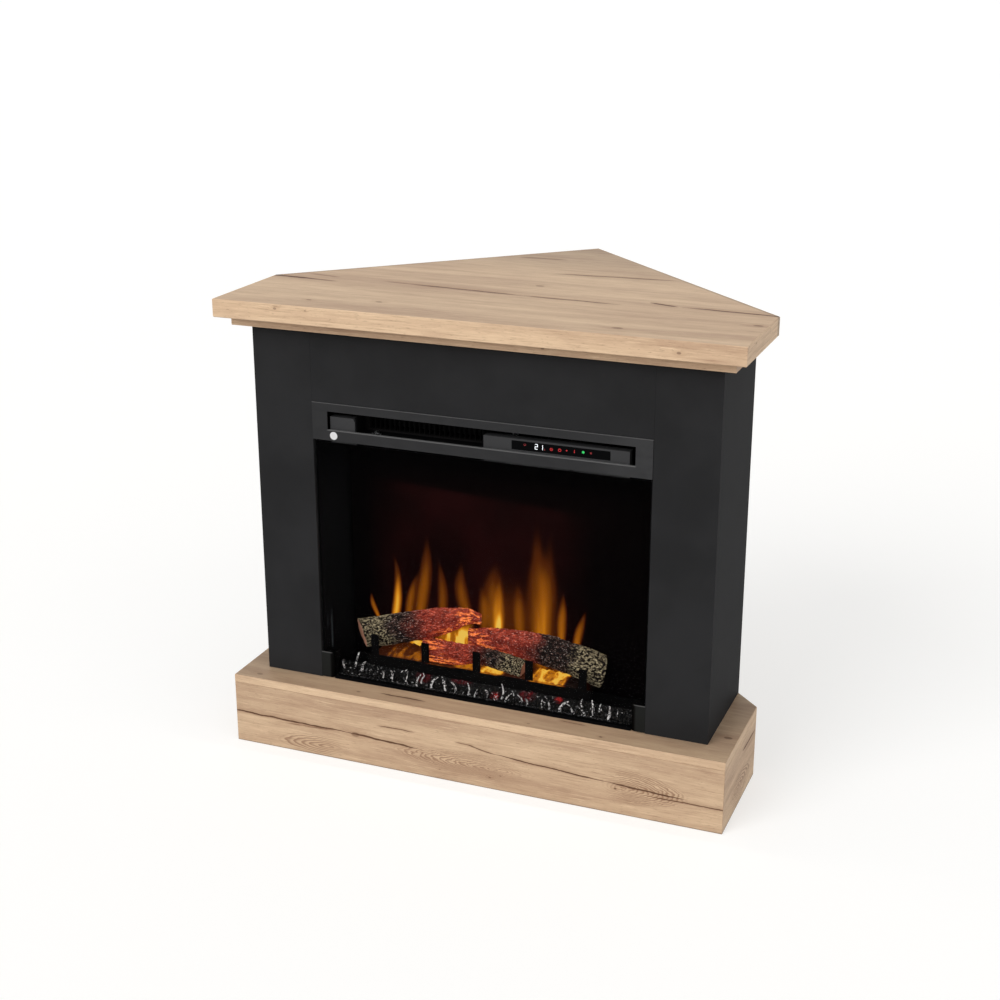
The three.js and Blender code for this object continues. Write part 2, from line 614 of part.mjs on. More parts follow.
/** The duct from the heating element to the slot: two plates between two ends that stand on the deck. */
function outletDuct() {
  const ends = [DUCT_X0, DUCT_X1 - SHEET].map((x) =>
    box([x, x + SHEET], [DUCT_SETBACK, DUCT_BACK], [DECK_TOP + SEAT, DUCT_CEILING + SHEET]),
  );
  const span = [DUCT_X0, DUCT_X1];
  return join(
    ...ends,
    box(span, [DUCT_SETBACK, DUCT_BACK], [DUCT_FLOOR - SHEET, DUCT_FLOOR]),
    box(span, [DUCT_SETBACK, DUCT_BACK], [DUCT_CEILING, DUCT_CEILING + SHEET]),
  );
}

/** The heating element: a ceramic frame with upright fins across the duct. */
function heatingElement() {
  const x0 = DUCT_X0 + SHEET + SEAT;
  const x1 = DUCT_X1 - SHEET - SEAT;
  const z0 = DUCT_FLOOR + SEAT;
  const z1 = DUCT_CEILING - SEAT;
  const y0 = ELEMENT_SETBACK;
  const frame = 4;
  const opening = box([x0 + 10, x1 - 10], [y0 - 1, y0 + ELEMENT_DEPTH + 1], [z0 + frame, z1 - frame]);
  const body = cut(box([x0, x1], [y0, y0 + ELEMENT_DEPTH], [z0, z1]), opening);
  const pitch = (x1 - x0 - 20) / (ELEMENT_FINS + 1);
  const fins = [];
  for (let i = 1; i <= ELEMENT_FINS; i++) {
    const x = x0 + 10 + i * pitch;
    fins.push(box([x - 0.6, x + 0.6], [y0 + 3, y0 + ELEMENT_DEPTH - 3], [z0 + frame / 2, z1 - frame / 2]));
  }
  return join(body, ...fins);
}

const FAN_X0 = DUCT_X0 + 16;
const FAN_X1 = DUCT_X1 - 16;

/** The fan wheel: curved blades between two end discs and a middle one, on a shaft. */
function fanWheel() {
  const inner = FAN_RADIUS - FAN_BLADE_DEPTH;
  const points = [];
  for (let i = 0; i <= 3; i++) {
    const radius = inner + (FAN_BLADE_DEPTH - 0.6) * (i / 3);
    const angle = 0.32 * Math.sin((i / 3) * (Math.PI / 2));
    points.push([radius * Math.cos(angle), radius * Math.sin(angle)]);
  }
  const back = points.map(([y, z]) => [y, z + FAN_BLADE_SHEET]).reverse();
  const blade = bar([...points, ...back], FAN_X0 + 0.5, FAN_X1 - 0.5);
  const parts = [];
  for (let i = 0; i < FAN_BLADES; i++) {
    parts.push(blade.clone().rotateX((i / FAN_BLADES) * Math.PI * 2));
  }
  const disc = 1.5;
  const middle = (FAN_X0 + FAN_X1) / 2;
  const discs = [FAN_X0, middle - disc / 2, FAN_X1 - disc].map((x) => rodX(FAN_RADIUS, x, x + disc, 40));
  const shaft = rodX(FAN_SHAFT_RADIUS, FAN_X0 - 24, FAN_X1 + 24, 16);
  return join(...discs, shaft, ...parts);
}

/** The scroll round the fan: a sheet that widens under and behind the wheel, and its two ends. */
function fanHousing() {
  const start = -Math.PI * 0.62;
  const sweep = Math.PI * 1.0;
  const steps = 14;
  const inside = [];
  const outside = [];
  for (let i = 0; i <= steps; i++) {
    const angle = start + (sweep * i) / steps;
    const radius = FAN_RADIUS + FAN_CLEARANCE + (6 * i) / steps;
    inside.push([radius * Math.cos(angle), radius * Math.sin(angle)]);
    outside.push([(radius + SHEET) * Math.cos(angle), (radius + SHEET) * Math.sin(angle)]);
  }
  const wrap = bar([...inside, ...outside.reverse()], FAN_X0 - 8, FAN_X1 + 8);
  const endHeight = FAN_AXIS_Z - DECK_TOP - SEAT;
  const endDepth = [DUCT_BACK + 1 - FAN_SETBACK, FAN_RADIUS + FAN_CLEARANCE + 8];
  const end = (x) =>
    cut(
      box([x, x + SHEET], endDepth, [-endHeight, endHeight * 0.86]),
      rodX(FAN_SHAFT_RADIUS + 2, x - 1, x + SHEET + 1, 16),
    );
  return join(wrap, end(FAN_X0 - 8), end(FAN_X1 + 8 - SHEET));
}

/** A ring on the X axis, such as a bearing. */
function ringX(outer, inner, x0, x1, sides = 20) {
  return cut(rodX(outer, x0, x1, sides), rodX(inner, x0 - 1, x1 + 1, sides));
}

/** A small motor on the X axis, open at one end for the shaft, standing on a foot. */
function motor(radius, length, shaftRadius, drop) {
  const foot = box([0, length], [-radius * 0.7, radius * 0.7], [-drop, -radius * 0.55]);
  const bore = rodX(shaftRadius + RUNNING_CLEARANCE, -1, length * 0.7, 16);
  return cut(join(rodX(radius, 0, length, 24), foot), bore);
}

function heater() {
  const group = new THREE.Group();
  group.add(covers());
  piece(group, "outlet_duct", outletDuct(), ZINC);
  piece(group, "heating_element", heatingElement(), CERAMIC);

  const thermostat = join(
    rodZ(THERMOSTAT_RADIUS, 0, THERMOSTAT_HEIGHT, 16),
    box([-THERMOSTAT_RADIUS - 5, THERMOSTAT_RADIUS + 5], [-2.5, 2.5], [0, 1]),
  );
  piece(group, "limit_thermostat", thermostat, ALUMINIUM,
    [DUCT_X0 + THERMOSTAT_INSET, DUCT_SETBACK + 20, DUCT_FLOOR + SEAT]);

  const axis = [0, FAN_SETBACK, FAN_AXIS_Z];
  piece(group, "fan_housing", fanHousing(), ZINC, axis);
  piece(group, "fan_wheel", fanWheel(), ALUMINIUM, axis);
  const bearing = join(
    ringX(FAN_SHAFT_RADIUS + 4, FAN_SHAFT_RADIUS + RUNNING_CLEARANCE, FAN_X0 - 18, FAN_X0 - 8 - SEAT),
    ringX(FAN_SHAFT_RADIUS + 1.6, FAN_SHAFT_RADIUS + RUNNING_CLEARANCE, FAN_X0 - 9, FAN_X0 - 8 + SHEET),
  );
  piece(group, "fan_bearing", bearing, BLACK_PLASTIC, axis);
  piece(group, "fan_motor",
    motor(FAN_MOTOR_RADIUS, FAN_MOTOR_LENGTH, FAN_SHAFT_RADIUS, FAN_AXIS_Z - DECK_TOP - SEAT), ZINC,
    [FAN_X1 + 8 + SEAT, FAN_SETBACK, FAN_AXIS_Z]);

  piece(group, "control_board", controlBoard(), CIRCUIT_GREEN,
    [CONTROL_X0 + BOARD_INSET, COVER_BACK + BOARD_SETBACK, DECK_TOP + SEAT]);
  return group;
}

/** The printed circuit board that drives the fire, with its larger parts, on four pillars. */
function controlBoard() {
  const top = BOARD_PILLAR + BOARD_SHEET;
  const parts = [box([0, BOARD_WIDTH], [0, BOARD_DEPTH], [BOARD_PILLAR, top])];
  const corner = 8; // from the board's edges to its pillars
  for (const x of [corner, BOARD_WIDTH - corner]) {
    for (const y of [corner, BOARD_DEPTH - corner]) {
      parts.push(rodZ(3, 0, BOARD_PILLAR + 0.5, 10).translate(x, y, 0));
    }
  }
  // Each part of the circuit: where its corner stands, and its width, depth and height.
  const relay = [19, 15, 16];
  const transformer = [46, 42, 34];
  const connector = [34, 24, 12];
  const mounted = [
    [20, 14, relay], [46, 14, relay], [72, 14, relay], [120, 20, transformer], [76, 60, connector],
  ];
  for (const [x, y, [width, depth, height]] of mounted) {
    parts.push(box([x, x + width], [y, y + depth], [top - 0.5, top + height]));
  }
  for (const x of [24, 48]) {
    parts.push(rodZ(8, top - 0.5, top + 22, 14).translate(x, 70, 0)); // a capacitor
  }
  return join(...parts);
}

// ---------------------------------------------------------------- flame effect, behind the glass
/** A flame's outline, standing on b = foot, for the stencil. */
function flameShape(a, width, foot, height, lean) {
  const tip = a + lean;
  const low = foot + height * 0.4;
  const high = foot + height * 0.6;
  const shape = new THREE.Shape();
  shape.moveTo(a - width / 2, foot);
  shape.lineTo(a + width / 2, foot);
  shape.bezierCurveTo(a + width * 0.64, low, tip + width * 0.12, high, tip, foot + height);
  shape.bezierCurveTo(tip - width * 0.12, high, a - width * 0.64, low, a - width / 2, foot);
  return shape;
}

function flameEffect() {
  const group = new THREE.Group();
  const side = CASING_INSIDE - SCREEN_SIDE_GAP;
  const screenTop = DECK_BOTTOM - SEAT;
  piece(group, "flame_screen",
    box([-side, side], [SCREEN_SETBACK, SCREEN_SETBACK + SCREEN_THICKNESS], [SHEET + SEAT, screenTop]),
    SCREEN_ACRYLIC);

  const stencilFront = SCREEN_SETBACK + SCREEN_THICKNESS + STENCIL_GAP;
  const stencilFoot = SHEET + SEAT;
  const pitch = (2 * side) / (STENCIL_FLAMES + 1);
  const flames = Array.from({ length: STENCIL_FLAMES }, (_, i) => {
    const place = (i - (STENCIL_FLAMES - 1) / 2) * pitch;
    const height = STENCIL_HEIGHT * (0.52 + 0.2 * scatter(i, 3));
    const shape = flameShape(place, pitch * 0.55, STENCIL_HEIGHT * 0.22, height, pitch * 0.16 * scatter(i, 5));
    return front(shape, stencilFront - 1, stencilFront + 2, 5);
  });
  const stencilSheet = join(
    box([-side, side], [stencilFront, stencilFront + 1], [stencilFoot, STENCIL_HEIGHT]),
    box([-side, side], [stencilFront, stencilFront + 9], [stencilFoot, stencilFoot + 1]),
  );
  piece(group, "flame_stencil", cut(stencilSheet, ...flames), ZINC);

  const axis = [0, ROTOR_SETBACK, ROTOR_HEIGHT];
  piece(group, "flicker_rotor", flickerRotor(), ALUMINIUM, axis);
  const end = ROTOR_LENGTH / 2 + 6;
  const stand = ROTOR_HEIGHT - SHEET - SEAT;
  const bearing = cut(
    join(
      rodX(9, -end - 10, -end, 20),
      box([-end - 10, -end], [-7, 7], [-stand, 0]),
      box([-end - 10, -end], [-16, 16], [-stand, -stand + 3]),
    ),
    rodX(ROTOR_SHAFT_RADIUS + RUNNING_CLEARANCE, -end - 11, -end + 1, 20),
  );
  piece(group, "rotor_bearing", bearing, BLACK_PLASTIC, axis);
  piece(group, "rotor_motor", motor(ROTOR_MOTOR_RADIUS, ROTOR_MOTOR_LENGTH, ROTOR_SHAFT_RADIUS, stand), ZINC,
    [end, ROTOR_SETBACK, ROTOR_HEIGHT]);

  piece(group, "flame_lamp_strip", lampStrip(LAMP_STRIP_LENGTH, LAMP_COUNT).rotateX(Math.PI / 2), CERAMIC,
    [0, BACK_PANEL_FRONT - SEAT, ROTOR_HEIGHT + ROTOR_RADIUS + 22]);
  piece(group, "ember_lamp_strip", lampStrip(EMBER_WIDTH - 4 * EMBER_WALL, LAMP_COUNT - 2), CERAMIC,
    [EMBER_CENTRE, GRATE_SETBACK + GRATE_SHEET + EMBER_DEPTH / 2, SHEET + SEAT]);
  return group;
}

/** The rotor: a shaft with bright vanes, each a strip turned on from the last. */
function flickerRotor() {
  const half = ROTOR_LENGTH / 2;
  const pitch = ROTOR_LENGTH / ROTOR_VANES;
  const parts = [rodX(ROTOR_SHAFT_RADIUS, -half - 20, half + 20, 16)];
  for (let i = 0; i < ROTOR_VANES; i++) {
    const x = -half + (i + 0.5) * pitch;
    const reach = ROTOR_RADIUS * (0.86 + 0.12 * scatter(i, 1));
    const vane = box([-pitch * 0.36, pitch * 0.36], [-reach, reach], [-VANE_SHEET / 2, VANE_SHEET / 2]);
    parts.push(vane.rotateZ(0.22 * scatter(i, 2)).rotateX(i * 2.39996).translate(x, 0, 0));
  }
  return join(...parts);
}

/** A row of lamps on a narrow board that lies on z = 0, facing up. */
function lampStrip(length, count) {
  const width = 16;
  const parts = [box([-length / 2, length / 2], [-width / 2, width / 2], [0, BOARD_SHEET])];
  for (let i = 0; i < count; i++) {
    const x = (i + 0.5 - count / 2) * (length / count);
    parts.push(box([x - 2.5, x + 2.5], [-2.5, 2.5], [BOARD_SHEET - 0.4, BOARD_SHEET + 1.6]));
  }
  return join(...parts);
}

// ---------------------------------------------------------------- grate, embers and logs
const grateX = (i) => GRATE_CENTRE + (i - (GRATE_UPRIGHTS - 1) / 2) * GRATE_PITCH;
const GRATE_X0 = grateX(0) - GRATE_BAR;
const GRATE_X1 = grateX(GRATE_UPRIGHTS - 1) + GRATE_BAR;

/** The grate: a front plate with five uprights, and a foot turned back under the ember bed. */
function grate(grow = 0) {
  const y0 = GRATE_SETBACK - grow;
  const y1 = GRATE_SETBACK + GRATE_SHEET + grow;
  const foot = SHEET + SEAT;
  const parts = [box([GRATE_X0 - grow, GRATE_X1 + grow], [y0, y1], [foot - grow, GRATE_RAIL_TOP + grow])];
  for (let i = 0; i < GRATE_UPRIGHTS; i++) {
    const x = grateX(i);
    const half = GRATE_BAR / 2 + grow;
    parts.push(box([x - half, x + half], [y0, y1], [foot, GRATE_TOP + grow]));
  }
  for (const x of [GRATE_X0, GRATE_X1 - GRATE_BAR]) {
    const sheet = [foot - grow, foot + GRATE_SHEET + grow];
    parts.push(box([x - grow, x + GRATE_BAR + grow], [y0, y1 + GRATE_BAR_DEPTH], sheet));
  }
  return join(...parts);
}

/**
 * A log: a bent, tapering trunk with a ridged bark and sawn ends. Each station is [x, y, z, radius].
 * slant leans the first and the last end's cut, as millimetres of lead across the trunk's radius.
 */
function trunk(stations, { grow = 0, slant = [0, 0], phase = 0, rings = 18, sides = 18 } = {}) {
  const curve = new THREE.CatmullRomCurve3(stations.map(([x, y, z]) => new THREE.Vector3(x, y, z)));
  const radii = new THREE.SplineCurve(stations.map(([, , , r], i) => new THREE.Vector2(i, r)));
  const up = new THREE.Vector3(0, 0, 1);
  const positions = [];
  const index = [];
  for (let i = 0; i <= rings; i++) {
    const t = i / rings;
    const centre = curve.getPoint(t);
    const along = curve.getTangent(t);
    const across = new THREE.Vector3().crossVectors(along, up).normalize();
    const raised = new THREE.Vector3().crossVectors(across, along);
    const radius = radii.getPoint(t).y;
    const lead = slant[0] * Math.max(0, 1 - t * 5) + slant[1] * Math.max(0, 1 - (1 - t) * 5);
    const past = grow * (i === rings) - grow * (i === 0);
    for (let j = 0; j < sides; j++) {
      const angle = (j / sides) * Math.PI * 2;
      const ridge = 1
        + 0.035 * Math.sin(5 * angle + 7 * t + phase)
        + 0.03 * Math.sin(3 * angle - 11 * t + 2 * phase)
        + 0.02 * Math.sin(8 * angle + 19 * t);
      const reach = radius * ridge + grow;
      const point = centre.clone()
        .addScaledVector(across, Math.cos(angle) * reach)
        .addScaledVector(raised, Math.sin(angle) * reach)
        .addScaledVector(along, lead * Math.cos(angle) + past);
      positions.push(point.x, point.y, point.z);
      if (i < rings) {
        const a = i * sides + j;
        const b = i * sides + ((j + 1) % sides);
        index.push(a, a + sides, b, b, a + sides, b + sides);
      }
    }
  }
  for (const [ring, turn] of [[0, 1], [rings, -1]]) {
    const centre = curve.getPoint(ring / rings).addScaledVector(curve.getTangent(ring / rings), -turn * grow);
    const hub = positions.length / 3;
    positions.push(centre.x, centre.y, centre.z);
    for (let j = 0; j < sides; j++) {
      const a = ring * sides + j;
      const b = ring * sides + ((j + 1) % sides);
      index.push(...(turn > 0 ? [hub, a, b] : [hub, b, a]));
    }
  }
  const geometry = new THREE.BufferGeometry();
  geometry.setAttribute("position", new THREE.Float32BufferAttribute(positions, 3));
  geometry.setIndex(index);
  return geometry;
}

// Stations of the three logs, from the left end to the right end.
const LOG_LEFT = [
  [-306, 80, 80, 32], [-217, 87, 108, 30], [-125, 93, 132, 25], [-69, 98, 142, 21], [-33, 100, 137, 9],
];
const LOG_RIGHT = [
  [-54, 99, 102, 22], [11, 100, 105, 25], [102, 99, 103, 32], [168, 98, 92, 33], [243, 99, 74, 34],
];
const LOG_FRONT = [
  [-149, 73, 69, 24], [-90, 73, 69, 27], [-23, 73, 71, 25], [34, 73, 68, 21], [76, 73, 61, 19],
];
const LEFT_FORM = { slant: [20, 4], phase: 0.4 };
const RIGHT_FORM = { slant: [5, 12], phase: 2.1 };
const FRONT_FORM = { slant: [6, -1], phase: 4.0 };

/** The ember bed: a hollow moulding whose lumpy top carries the logs. */
function emberBed() {
  const y0 = GRATE_SETBACK + GRATE_SHEET + SEAT;
  const geometry = new THREE.BoxGeometry(EMBER_WIDTH, EMBER_DEPTH, EMBER_LEVEL, 26, 5, 1);
  const position = geometry.attributes.position;
  const foot = SHEET + SEAT;
  for (let i = 0; i < position.count; i++) {
    const x = position.getX(i);
    const y = position.getY(i);
    if (position.getZ(i) > 0) {
      const lumps = 4 * Math.sin(x / 13) * Math.cos(y / 9) + 3 * Math.sin(x / 31 + y / 12);
      const rise = 22 * Math.exp(-(((x + EMBER_WIDTH / 2 - 22) / 42) ** 2));
      position.setZ(i, EMBER_LEVEL / 2 + lumps + rise);
    }
  }
  geometry.translate(EMBER_CENTRE, y0 + EMBER_DEPTH / 2, foot + EMBER_LEVEL / 2);
  const half = EMBER_WIDTH / 2 - EMBER_WALL;
  const hollow = box([EMBER_CENTRE - half, EMBER_CENTRE + half],
    [y0 + EMBER_WALL, y0 + EMBER_DEPTH - EMBER_WALL], [foot - 1, foot + EMBER_LEVEL * 0.45]);
  const feet = [GRATE_X0, GRATE_X1 - GRATE_BAR].map((x) => box(
    [x - SEAT, x + GRATE_BAR + SEAT], [y0 - 1, y0 + GRATE_BAR_DEPTH + SEAT],
    [foot - 1, foot + GRATE_SHEET + SEAT],
  ));
  return cut(geometry, hollow, ...feet);
}

function fuelBed() {
  const group = new THREE.Group();
  const left = (grow) => trunk(LOG_LEFT, { ...LEFT_FORM, grow });
  const right = (grow) => trunk(LOG_RIGHT, { ...RIGHT_FORM, grow });
  const lower = (grow) => trunk(LOG_FRONT, { ...FRONT_FORM, grow });
  const gap = 2 * SEAT;

  // Each log is notched over what it lies on: the grate, then the logs below it.
  piece(group, "fire_grate", grate(), BLACK_STEEL);
  piece(group, "log_front", cut(lower(0), grate(gap)), BARK_RESIN);
  piece(group, "log_right", cut(right(0), grate(gap), lower(gap)), BARK_RESIN);
  piece(group, "log_left", cut(left(0), grate(gap), lower(gap), right(gap)), BARK_RESIN);
  piece(group, "ember_bed", cut(emberBed(), lower(gap), right(gap), left(gap)), EMBER_RESIN);
  return group;
}

// ---------------------------------------------------------------- tray of crystals
/** A crystal: a curved horn with five sides that stands at (x, y, z) and leans to one side. */
function crystal(x, y, z, scale, side, phase) {
  const radius = CRYSTAL_SIZE * scale;
  const reach = CRYSTAL_REACH * scale;
  const bend = [[0, 0, 1], [0.08, 0.4, 0.92], [0.26, 0.76, 0.66], [0.5, 0.96, 0.2]];
  const stations = bend.map(([out, up, width]) => [
    x + side * out * reach, y - 0.1 * up * reach, z + up * reach, radius * width,
  ]);
  return trunk(stations, { phase, rings: 3, sides: 5 });
}

function crystalBed() {
  const group = new THREE.Group();
  const side = END_BLOCK_INNER - SEAT;
  const y0 = TRAY_SETBACK;
  const y1 = GRATE_SETBACK - SEAT;
  const floor = SHEET + SEAT;
  const sheet = 1;
  const tray = [
    [y0, floor], [y1, floor], [y1, floor + TRAY_BACK], [y1 - sheet, floor + TRAY_BACK],
    [y1 - sheet, floor + sheet], [y0 + sheet, floor + sheet], [y0 + sheet, floor + TRAY_LIP],
    [y0, floor + TRAY_LIP],
  ];
  piece(group, "crystal_tray", bar(tray, -side, side), BLACK_STEEL);

  // A bank of crystals that rises to the grate: a sloping bed with curved crystals standing out of it.
  const inner0 = y0 + sheet + SEAT;
  const inner1 = y1 - sheet - SEAT;
  const foot = floor + sheet + SEAT;
  const parts = [bar([
    [inner0, foot], [inner1, foot], [inner1, foot + BANK_HIGH], [inner1 - BANK_SHELF, foot + BANK_HIGH],
    [inner0, foot + BANK_LOW],
  ], -side + SEAT, side - SEAT)];
  const span = side - CRYSTAL_SIZE * 4;
  for (let i = 0; i < CRYSTAL_COUNT; i++) {
    const back = i % 2;
    const x = ((i + 0.5 + 0.3 * scatter(i, 7)) / CRYSTAL_COUNT - 0.5) * 2 * span;
    const y = inner0 + (inner1 - inner0) * (back ? 0.66 : 0.4);
    const z = foot + BANK_LOW + (BANK_HIGH - BANK_LOW) * (back ? 0.7 : 0.35);
    parts.push(crystal(x, y, z, 1 + 0.25 * scatter(i, 8), i % 3 ? 1 : -1, i));
  }
  piece(group, "crystal_bed", join(...parts), CRYSTAL);

  for (const [word, sign] of [["left", -1], ["right", 1]]) {
    piece(group, `end_block_${word}`, endBlock(sign), BLACK_PLASTIC);
  }
  return group;
}

/** A block that closes a lower corner of the fire: in front of the casing's edge and inside it. */
function endBlock(side) {
  const outside = OPENING_SIDE - SEAT * 2;
  const inside = CASING_INSIDE - SEAT;
  const steps = 5;
  const rounded = Array.from({ length: steps + 1 }, (_, i) => {
    const angle = (i / steps) * (Math.PI / 2);
    return [
      END_BLOCK_INNER + END_BLOCK_ROUND * (1 - Math.cos(angle)),
      SEAT + END_BLOCK_ROUND * (1 - Math.sin(angle)),
    ];
  });
  const shape = mirrored([
    ...rounded, [outside, SEAT], [outside, CASING_FRONT - SEAT], [inside, CASING_FRONT - SEAT],
    [inside, END_BLOCK_DEPTH], [END_BLOCK_INNER, END_BLOCK_DEPTH],
  ], side);
  return plan(shape, SHEET + SEAT, END_BLOCK_HEIGHT);
}

// ---------------------------------------------------------------- the whole object
function fire() {
  const group = new THREE.Group();
  group.add(casing(), facade(), heater(), flameEffect(), fuelBed(), crystalBed());
  piece(group, "cable_gland", gland(), BLACK_PLASTIC, [GLAND_X, FIRE_DEPTH, GLAND_HEIGHT]);
  piece(group, "fixing_bracket_left", fixingBracket(-1), ZINC, [0, 0, FIRE_HEIGHT / 2]);
  piece(group, "fixing_bracket_right", fixingBracket(1), ZINC, [0, 0, FIRE_HEIGHT / 2]);
  group.position.set(0, BODY_FRONT, BASE_HEIGHT);
  return group;
}

const fireplace = new THREE.Group();
fireplace.add(surround(), base(), fire());

export default fireplace;
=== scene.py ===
"""The looks of a corner fireplace: an oak and black surround with an electric fire in its front.

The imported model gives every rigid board, sheet and mechanism at its place. This script gives each
of them its finish, and makes the pieces whose surface is finer than the model's: the three logs,
the ember bed, the bed of crystals, the flames, the display's symbols and the fasteners.
"""
import logging
import math
from dataclasses import dataclass, field
from enum import Enum
from typing import Iterable, Sequence

import bmesh
import bpy
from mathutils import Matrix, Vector, noise


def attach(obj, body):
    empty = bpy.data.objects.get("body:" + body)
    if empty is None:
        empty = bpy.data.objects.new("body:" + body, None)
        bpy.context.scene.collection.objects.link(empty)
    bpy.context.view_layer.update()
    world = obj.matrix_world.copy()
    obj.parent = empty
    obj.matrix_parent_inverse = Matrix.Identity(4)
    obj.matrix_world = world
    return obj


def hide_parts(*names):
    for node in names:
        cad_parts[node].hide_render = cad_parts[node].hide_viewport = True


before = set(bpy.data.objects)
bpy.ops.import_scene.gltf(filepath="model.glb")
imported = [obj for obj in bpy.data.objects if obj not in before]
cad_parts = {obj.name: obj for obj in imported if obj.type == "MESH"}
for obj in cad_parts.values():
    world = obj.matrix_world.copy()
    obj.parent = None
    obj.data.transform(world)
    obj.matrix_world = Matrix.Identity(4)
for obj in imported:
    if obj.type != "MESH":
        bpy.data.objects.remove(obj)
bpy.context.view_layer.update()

LOG = logging.getLogger("corner_fireplace")
MM = 0.001
ROOT = "fireplace"
FIRE_FRONT = -345.0
FIRE_FLOOR = 158.0
NOISE_SEED = 7

Color = tuple[float, float, float, float]

BLACK: Color = (0.0, 0.0, 0.0, 1.0)
HEAT = (
    (0.0, BLACK),
    (0.05, (0.010, 0.001, 0.0008, 1.0)),
    (0.22, (0.085, 0.018, 0.002, 1.0)),
    (0.45, (0.36, 0.105, 0.005, 1.0)),
    (0.7, (0.78, 0.28, 0.012, 1.0)),
    (0.88, (1.0, 0.52, 0.05, 1.0)),
    (1.0, (1.0, 0.74, 0.16, 1.0)),
)
BARK_FACTS = ("along", "groove", "under", "sawn", "ring", "run", "side", "rise")


def srgb(red: int, green: int, blue: int) -> Color:
    """Turn a screen colour into the linear colour that a shader takes.

    Args:
        red: The red channel, from 0 to 255.
        green: The green channel, from 0 to 255.
        blue: The blue channel, from 0 to 255.

    Returns:
        The linear colour, with an alpha of 1.
    """
    channels = [c / 255 for c in (red, green, blue)]
    linear = [c / 12.92 if c <= 0.04045 else ((c + 0.055) / 1.055) ** 2.4 for c in channels]
    return (*linear, 1.0)


def gained(color: Color, gain: float) -> Color:
    """Return a colour with its channels times a gain, held to 1."""
    return (*(min(1.0, c * gain) for c in color[:3]), 1.0)


# ------------------------------------------------------------------------------- node graphs
class Value:
    """An output socket that can be used in Python arithmetic."""

    def __init__(self, graph: "Graph", socket: bpy.types.NodeSocket) -> None:
        """Wrap a socket of a graph."""
        self.graph = graph
        self.socket = socket

    def __add__(self, other: "Value | float") -> "Value":
        """Return the sum."""
        return self.graph.math("ADD", self, other)

    def __sub__(self, other: "Value | float") -> "Value":
        """Return the difference."""
        return self.graph.math("SUBTRACT", self, other)

    def __rsub__(self, other: "Value | float") -> "Value":
        """Return the difference from a number."""
        return self.graph.math("SUBTRACT", other, self)

    def __mul__(self, other: "Value | float") -> "Value":
        """Return the product."""
        return self.graph.math("MULTIPLY", self, other)

    def __truediv__(self, other: "Value | float") -> "Value":
        """Return the quotient."""
        return self.graph.math("DIVIDE", self, other)

    def __rtruediv__(self, other: "Value | float") -> "Value":
        """Return a number divided by this value."""
        return self.graph.math("DIVIDE", other, self)

    def __pow__(self, other: "Value | float") -> "Value":
        """Return the power."""
        return self.graph.math("POWER", self, other)

    def __neg__(self) -> "Value":
        """Return the value with its sign changed."""
        return self.graph.math("MULTIPLY", self, -1.0)

    def __abs__(self) -> "Value":
        """Return the absolute value."""
        return self.graph.math("ABSOLUTE", self)

    __radd__ = __add__
    __rmul__ = __mul__

    def smooth(self, low: float, high: float) -> "Value":
        """Ease from 0 at low to 1 at high, or from 1 down to 0 where low is the larger.

        Args:
            low: Where the result is 0.
            high: Where the result is 1.

        Returns:
            The eased value.
        """
        settings = {"interpolation_type": "SMOOTHSTEP"}
        inputs = {"Value": self, "From Min": low, "From Max": high}
        return self.graph.node("ShaderNodeMapRange", settings, inputs)

    def window(self, rise: tuple[float, float], fall: tuple[float, float]) -> "Value":
        """Return 1 between a rise and a fall, each eased over its own two places."""
        return self.smooth(*rise) * self.smooth(fall[1], fall[0])

    def scaled(self, middle: float, unit: float) -> "Value":
        """Return how many units this length is past a middle, both in millimetres."""
        return (self - middle * MM) / (unit * MM)

    def most(self, other: "Value | float") -> "Value":
        """Return the larger of two values."""
        return self.graph.math("MAXIMUM", self, other)

    def least(self, other: "Value | float") -> "Value":
        """Return the smaller of two values."""
        return self.graph.math("MINIMUM", self, other)

    def ramp(self, stops: Sequence[tuple[float, Color]]) -> "Value":
        """Look this value up in a colour ramp.

        Args:
            stops: The ramp's positions, rising, and their colours.

        Returns:
            The colour.
        """
        return self.graph.node("ShaderNodeValToRGB", {"ramp": stops}, {"Fac": self})


